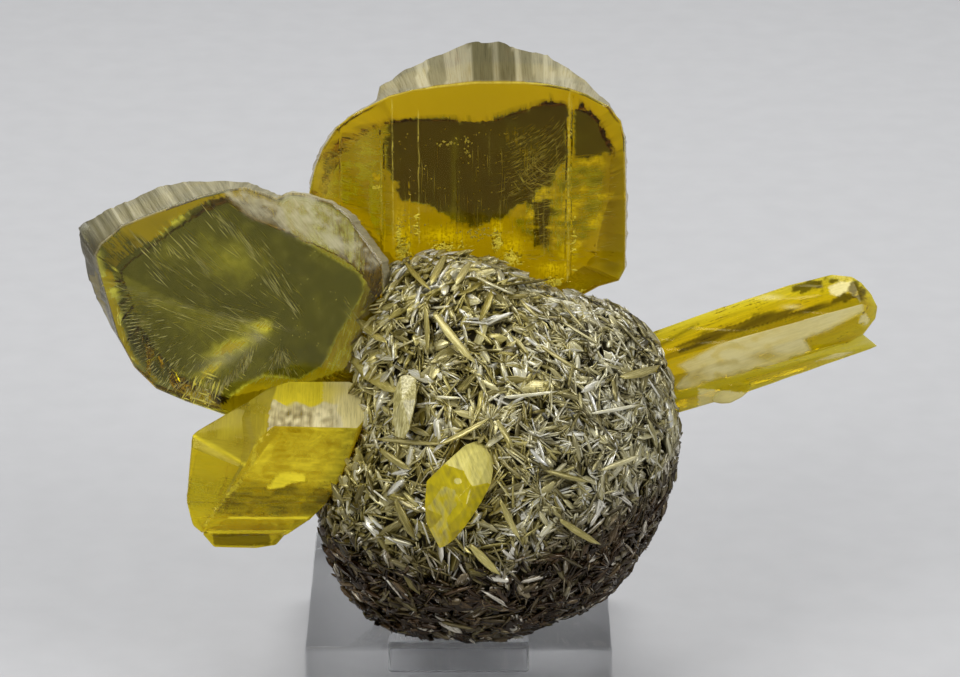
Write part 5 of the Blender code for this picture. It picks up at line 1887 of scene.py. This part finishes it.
            tones.append(np.tile(np.array([*tone, 1.0]), (len(unit), 1)))
            shifted = local.copy()
            shifted[:, 2] = start * 0.37 % 97.0
            lies.append(shifted)
            faces.append(tris + start)
            start += len(unit)
        V, F = np.concatenate(verts), np.concatenate(faces)
        name = "ball_blades_%d" % (part + 1)
        me = bpy.data.meshes.new(name)
        me.vertices.add(len(V))
        me.vertices.foreach_set("co", (V.reshape(-1) * MM).astype(np.float32))
        me.loops.add(F.size)
        me.loops.foreach_set("vertex_index", F.reshape(-1).astype(np.int32))
        me.polygons.add(len(F))
        me.polygons.foreach_set("loop_start", (np.arange(len(F)) * 3).astype(np.int32))
        me.update(calc_edges=True)
        put_attribute(me, "tone", "POINT", np.concatenate(tones))
        put_attribute(me, "lie", "POINT", np.concatenate(lies), "FLOAT_VECTOR")
        me.materials.append(mat)
        piece(add_object(name, me), None)
        total += len(F)
    print("blades", len(blades), "triangles", total)


# ===================================================================== stand
def build_stand():
    w, d, h = BLOCK_W / 2, BLOCK_D / 2, BLOCK_H
    bm = bmesh.new()
    outer = [bm.verts.new((x, y, 0)) for x, y in ((-w, -d), (w, -d), (w, d), (-w, d))]
    top = [bm.verts.new((v.co.x, v.co.y, h)) for v in outer]
    plan = ((-POCKET_FRONT_W / 2, POCKET_FRONT_Y), (POCKET_FRONT_W / 2, POCKET_FRONT_Y),
            (POCKET_BACK_W / 2, POCKET_BACK_Y), (-POCKET_BACK_W / 2, POCKET_BACK_Y))
    rim = [bm.verts.new((x, y, h)) for x, y in plan]
    seat = [bm.verts.new((x, y, h - POCKET_DEPTH)) for x, y in plan]
    bm.faces.new(list(reversed(outer)))
    bm.faces.new(seat)
    for i in range(4):
        j = (i + 1) % 4
        bm.faces.new((outer[i], outer[j], top[j], top[i]))
        bm.faces.new((top[i], top[j], rim[j], rim[i]))
        bm.faces.new((rim[i], rim[j], seat[j], seat[i]))
    bmesh.ops.recalc_face_normals(bm, faces=bm.faces)
    sharp = [e for e in bm.edges if e.calc_face_angle(0.0) > math.radians(40)]
    bmesh.ops.bevel(bm, geom=sharp, offset=0.9, segments=3, affect="EDGES",
                    profile=0.5, clamp_overlap=True)
    for v in bm.verts:
        v.co *= MM
    me = bpy.data.meshes.new("stand_block_visible")
    bm.to_mesh(me)
    bm.free()
    me.materials.append(acrylic_material())
    shade(me, 40)
    ob = add_object("stand_block_visible", me)
    piece(ob, "acrylic", "stand_block")
    return ob


# ============================================================ stage and light
def area(name, place, size, watts, aim=(0, 0, 0.08), colour=(1, 1, 1)):
    light = bpy.data.lights.new(name, "AREA")
    light.shape = "RECTANGLE"
    light.size, light.size_y = size
    light.energy = watts
    light.color = colour
    ob = bpy.data.objects.new(name, light)
    ob.location = place
    ob.rotation_euler = (Vector(aim) - Vector(place)).to_track_quat("-Z", "Y").to_euler()
    bpy.context.scene.collection.objects.link(ob)
    return ob


def build_stage():
    bm = bmesh.new()
    bmesh.ops.create_circle(bm, cap_ends=True, radius=2.6, segments=96)
    for v in bm.verts:
        v.co.z = 0.00005
    me = bpy.data.meshes.new("floor")
    bm.to_mesh(me)
    bm.free()
    me.materials.append(floor_material())
    floor = add_object("floor", me)
    area("soft_left", (-0.75, -0.85, 0.95), (0.60, 0.60), 7.8)
    area("soft_right", (0.85, -0.75, 0.85), (0.55, 0.55), 6.0)
    area("soft_top", (0.0, 0.50, 1.00), (1.30, 0.80), 11.0)
    world = bpy.data.worlds.new("studio")
    world.use_nodes = True
    bg = world.node_tree.nodes["Background"]
    bg.inputs["Color"].default_value = (0.86, 0.88, 0.92, 1.0)
    bg.inputs["Strength"].default_value = 0.34
    bpy.context.scene.world = world


def build_camera():
    cam = bpy.data.cameras.new("camera")
    cam.lens = 156.3
    cam.sensor_width = 36.0
    cam.clip_start, cam.clip_end = 0.05, 20.0
    ob = bpy.data.objects.new("camera", cam)
    ob.location = (0.00533, -0.98257, 0.44439)
    ob.rotation_euler = (math.radians(70.0), 0.0, 0.0)
    bpy.context.scene.collection.objects.link(ob)
    bpy.context.scene.camera = ob


def main():
    scene = bpy.context.scene
    build_camera()
    build_stage()
    scene.view_settings.view_transform = "Standard"
    scene.cycles.sample_clamp_indirect = 20.0
    scene.cycles.max_bounces = 16
    scene.cycles.transmission_bounces = 16
    scene.cycles.transparent_max_bounces = 24

    build_stand()
    top = build_top()
    left = build_left()
    right = build_right()
    small = build_small()
    front = build_front()
    tablet = build_tablet()
    build_core()
    deps = bpy.context.evaluated_depsgraph_get()
    trees = []
    for name, slack in (("crystal_top_visible", 0.2), ("crystal_left_large_visible", 0.2),
                        ("crystal_right_visible", 0.2), ("crystal_left_small_visible", 0.2),
                        ("crystal_front_small_visible", 0.2), ("crystal_tablet_visible", 0.2)):
        ob = bpy.data.objects[name]
        corners = [v.co for v in ob.data.vertices]
        trees.append((BVHTree.FromObject(ob, deps), slack,
                      [min(c[k] for c in corners) for k in range(3)],
                      [max(c[k] for c in corners) for k in range(3)]))
    build_blades(trees)


main()
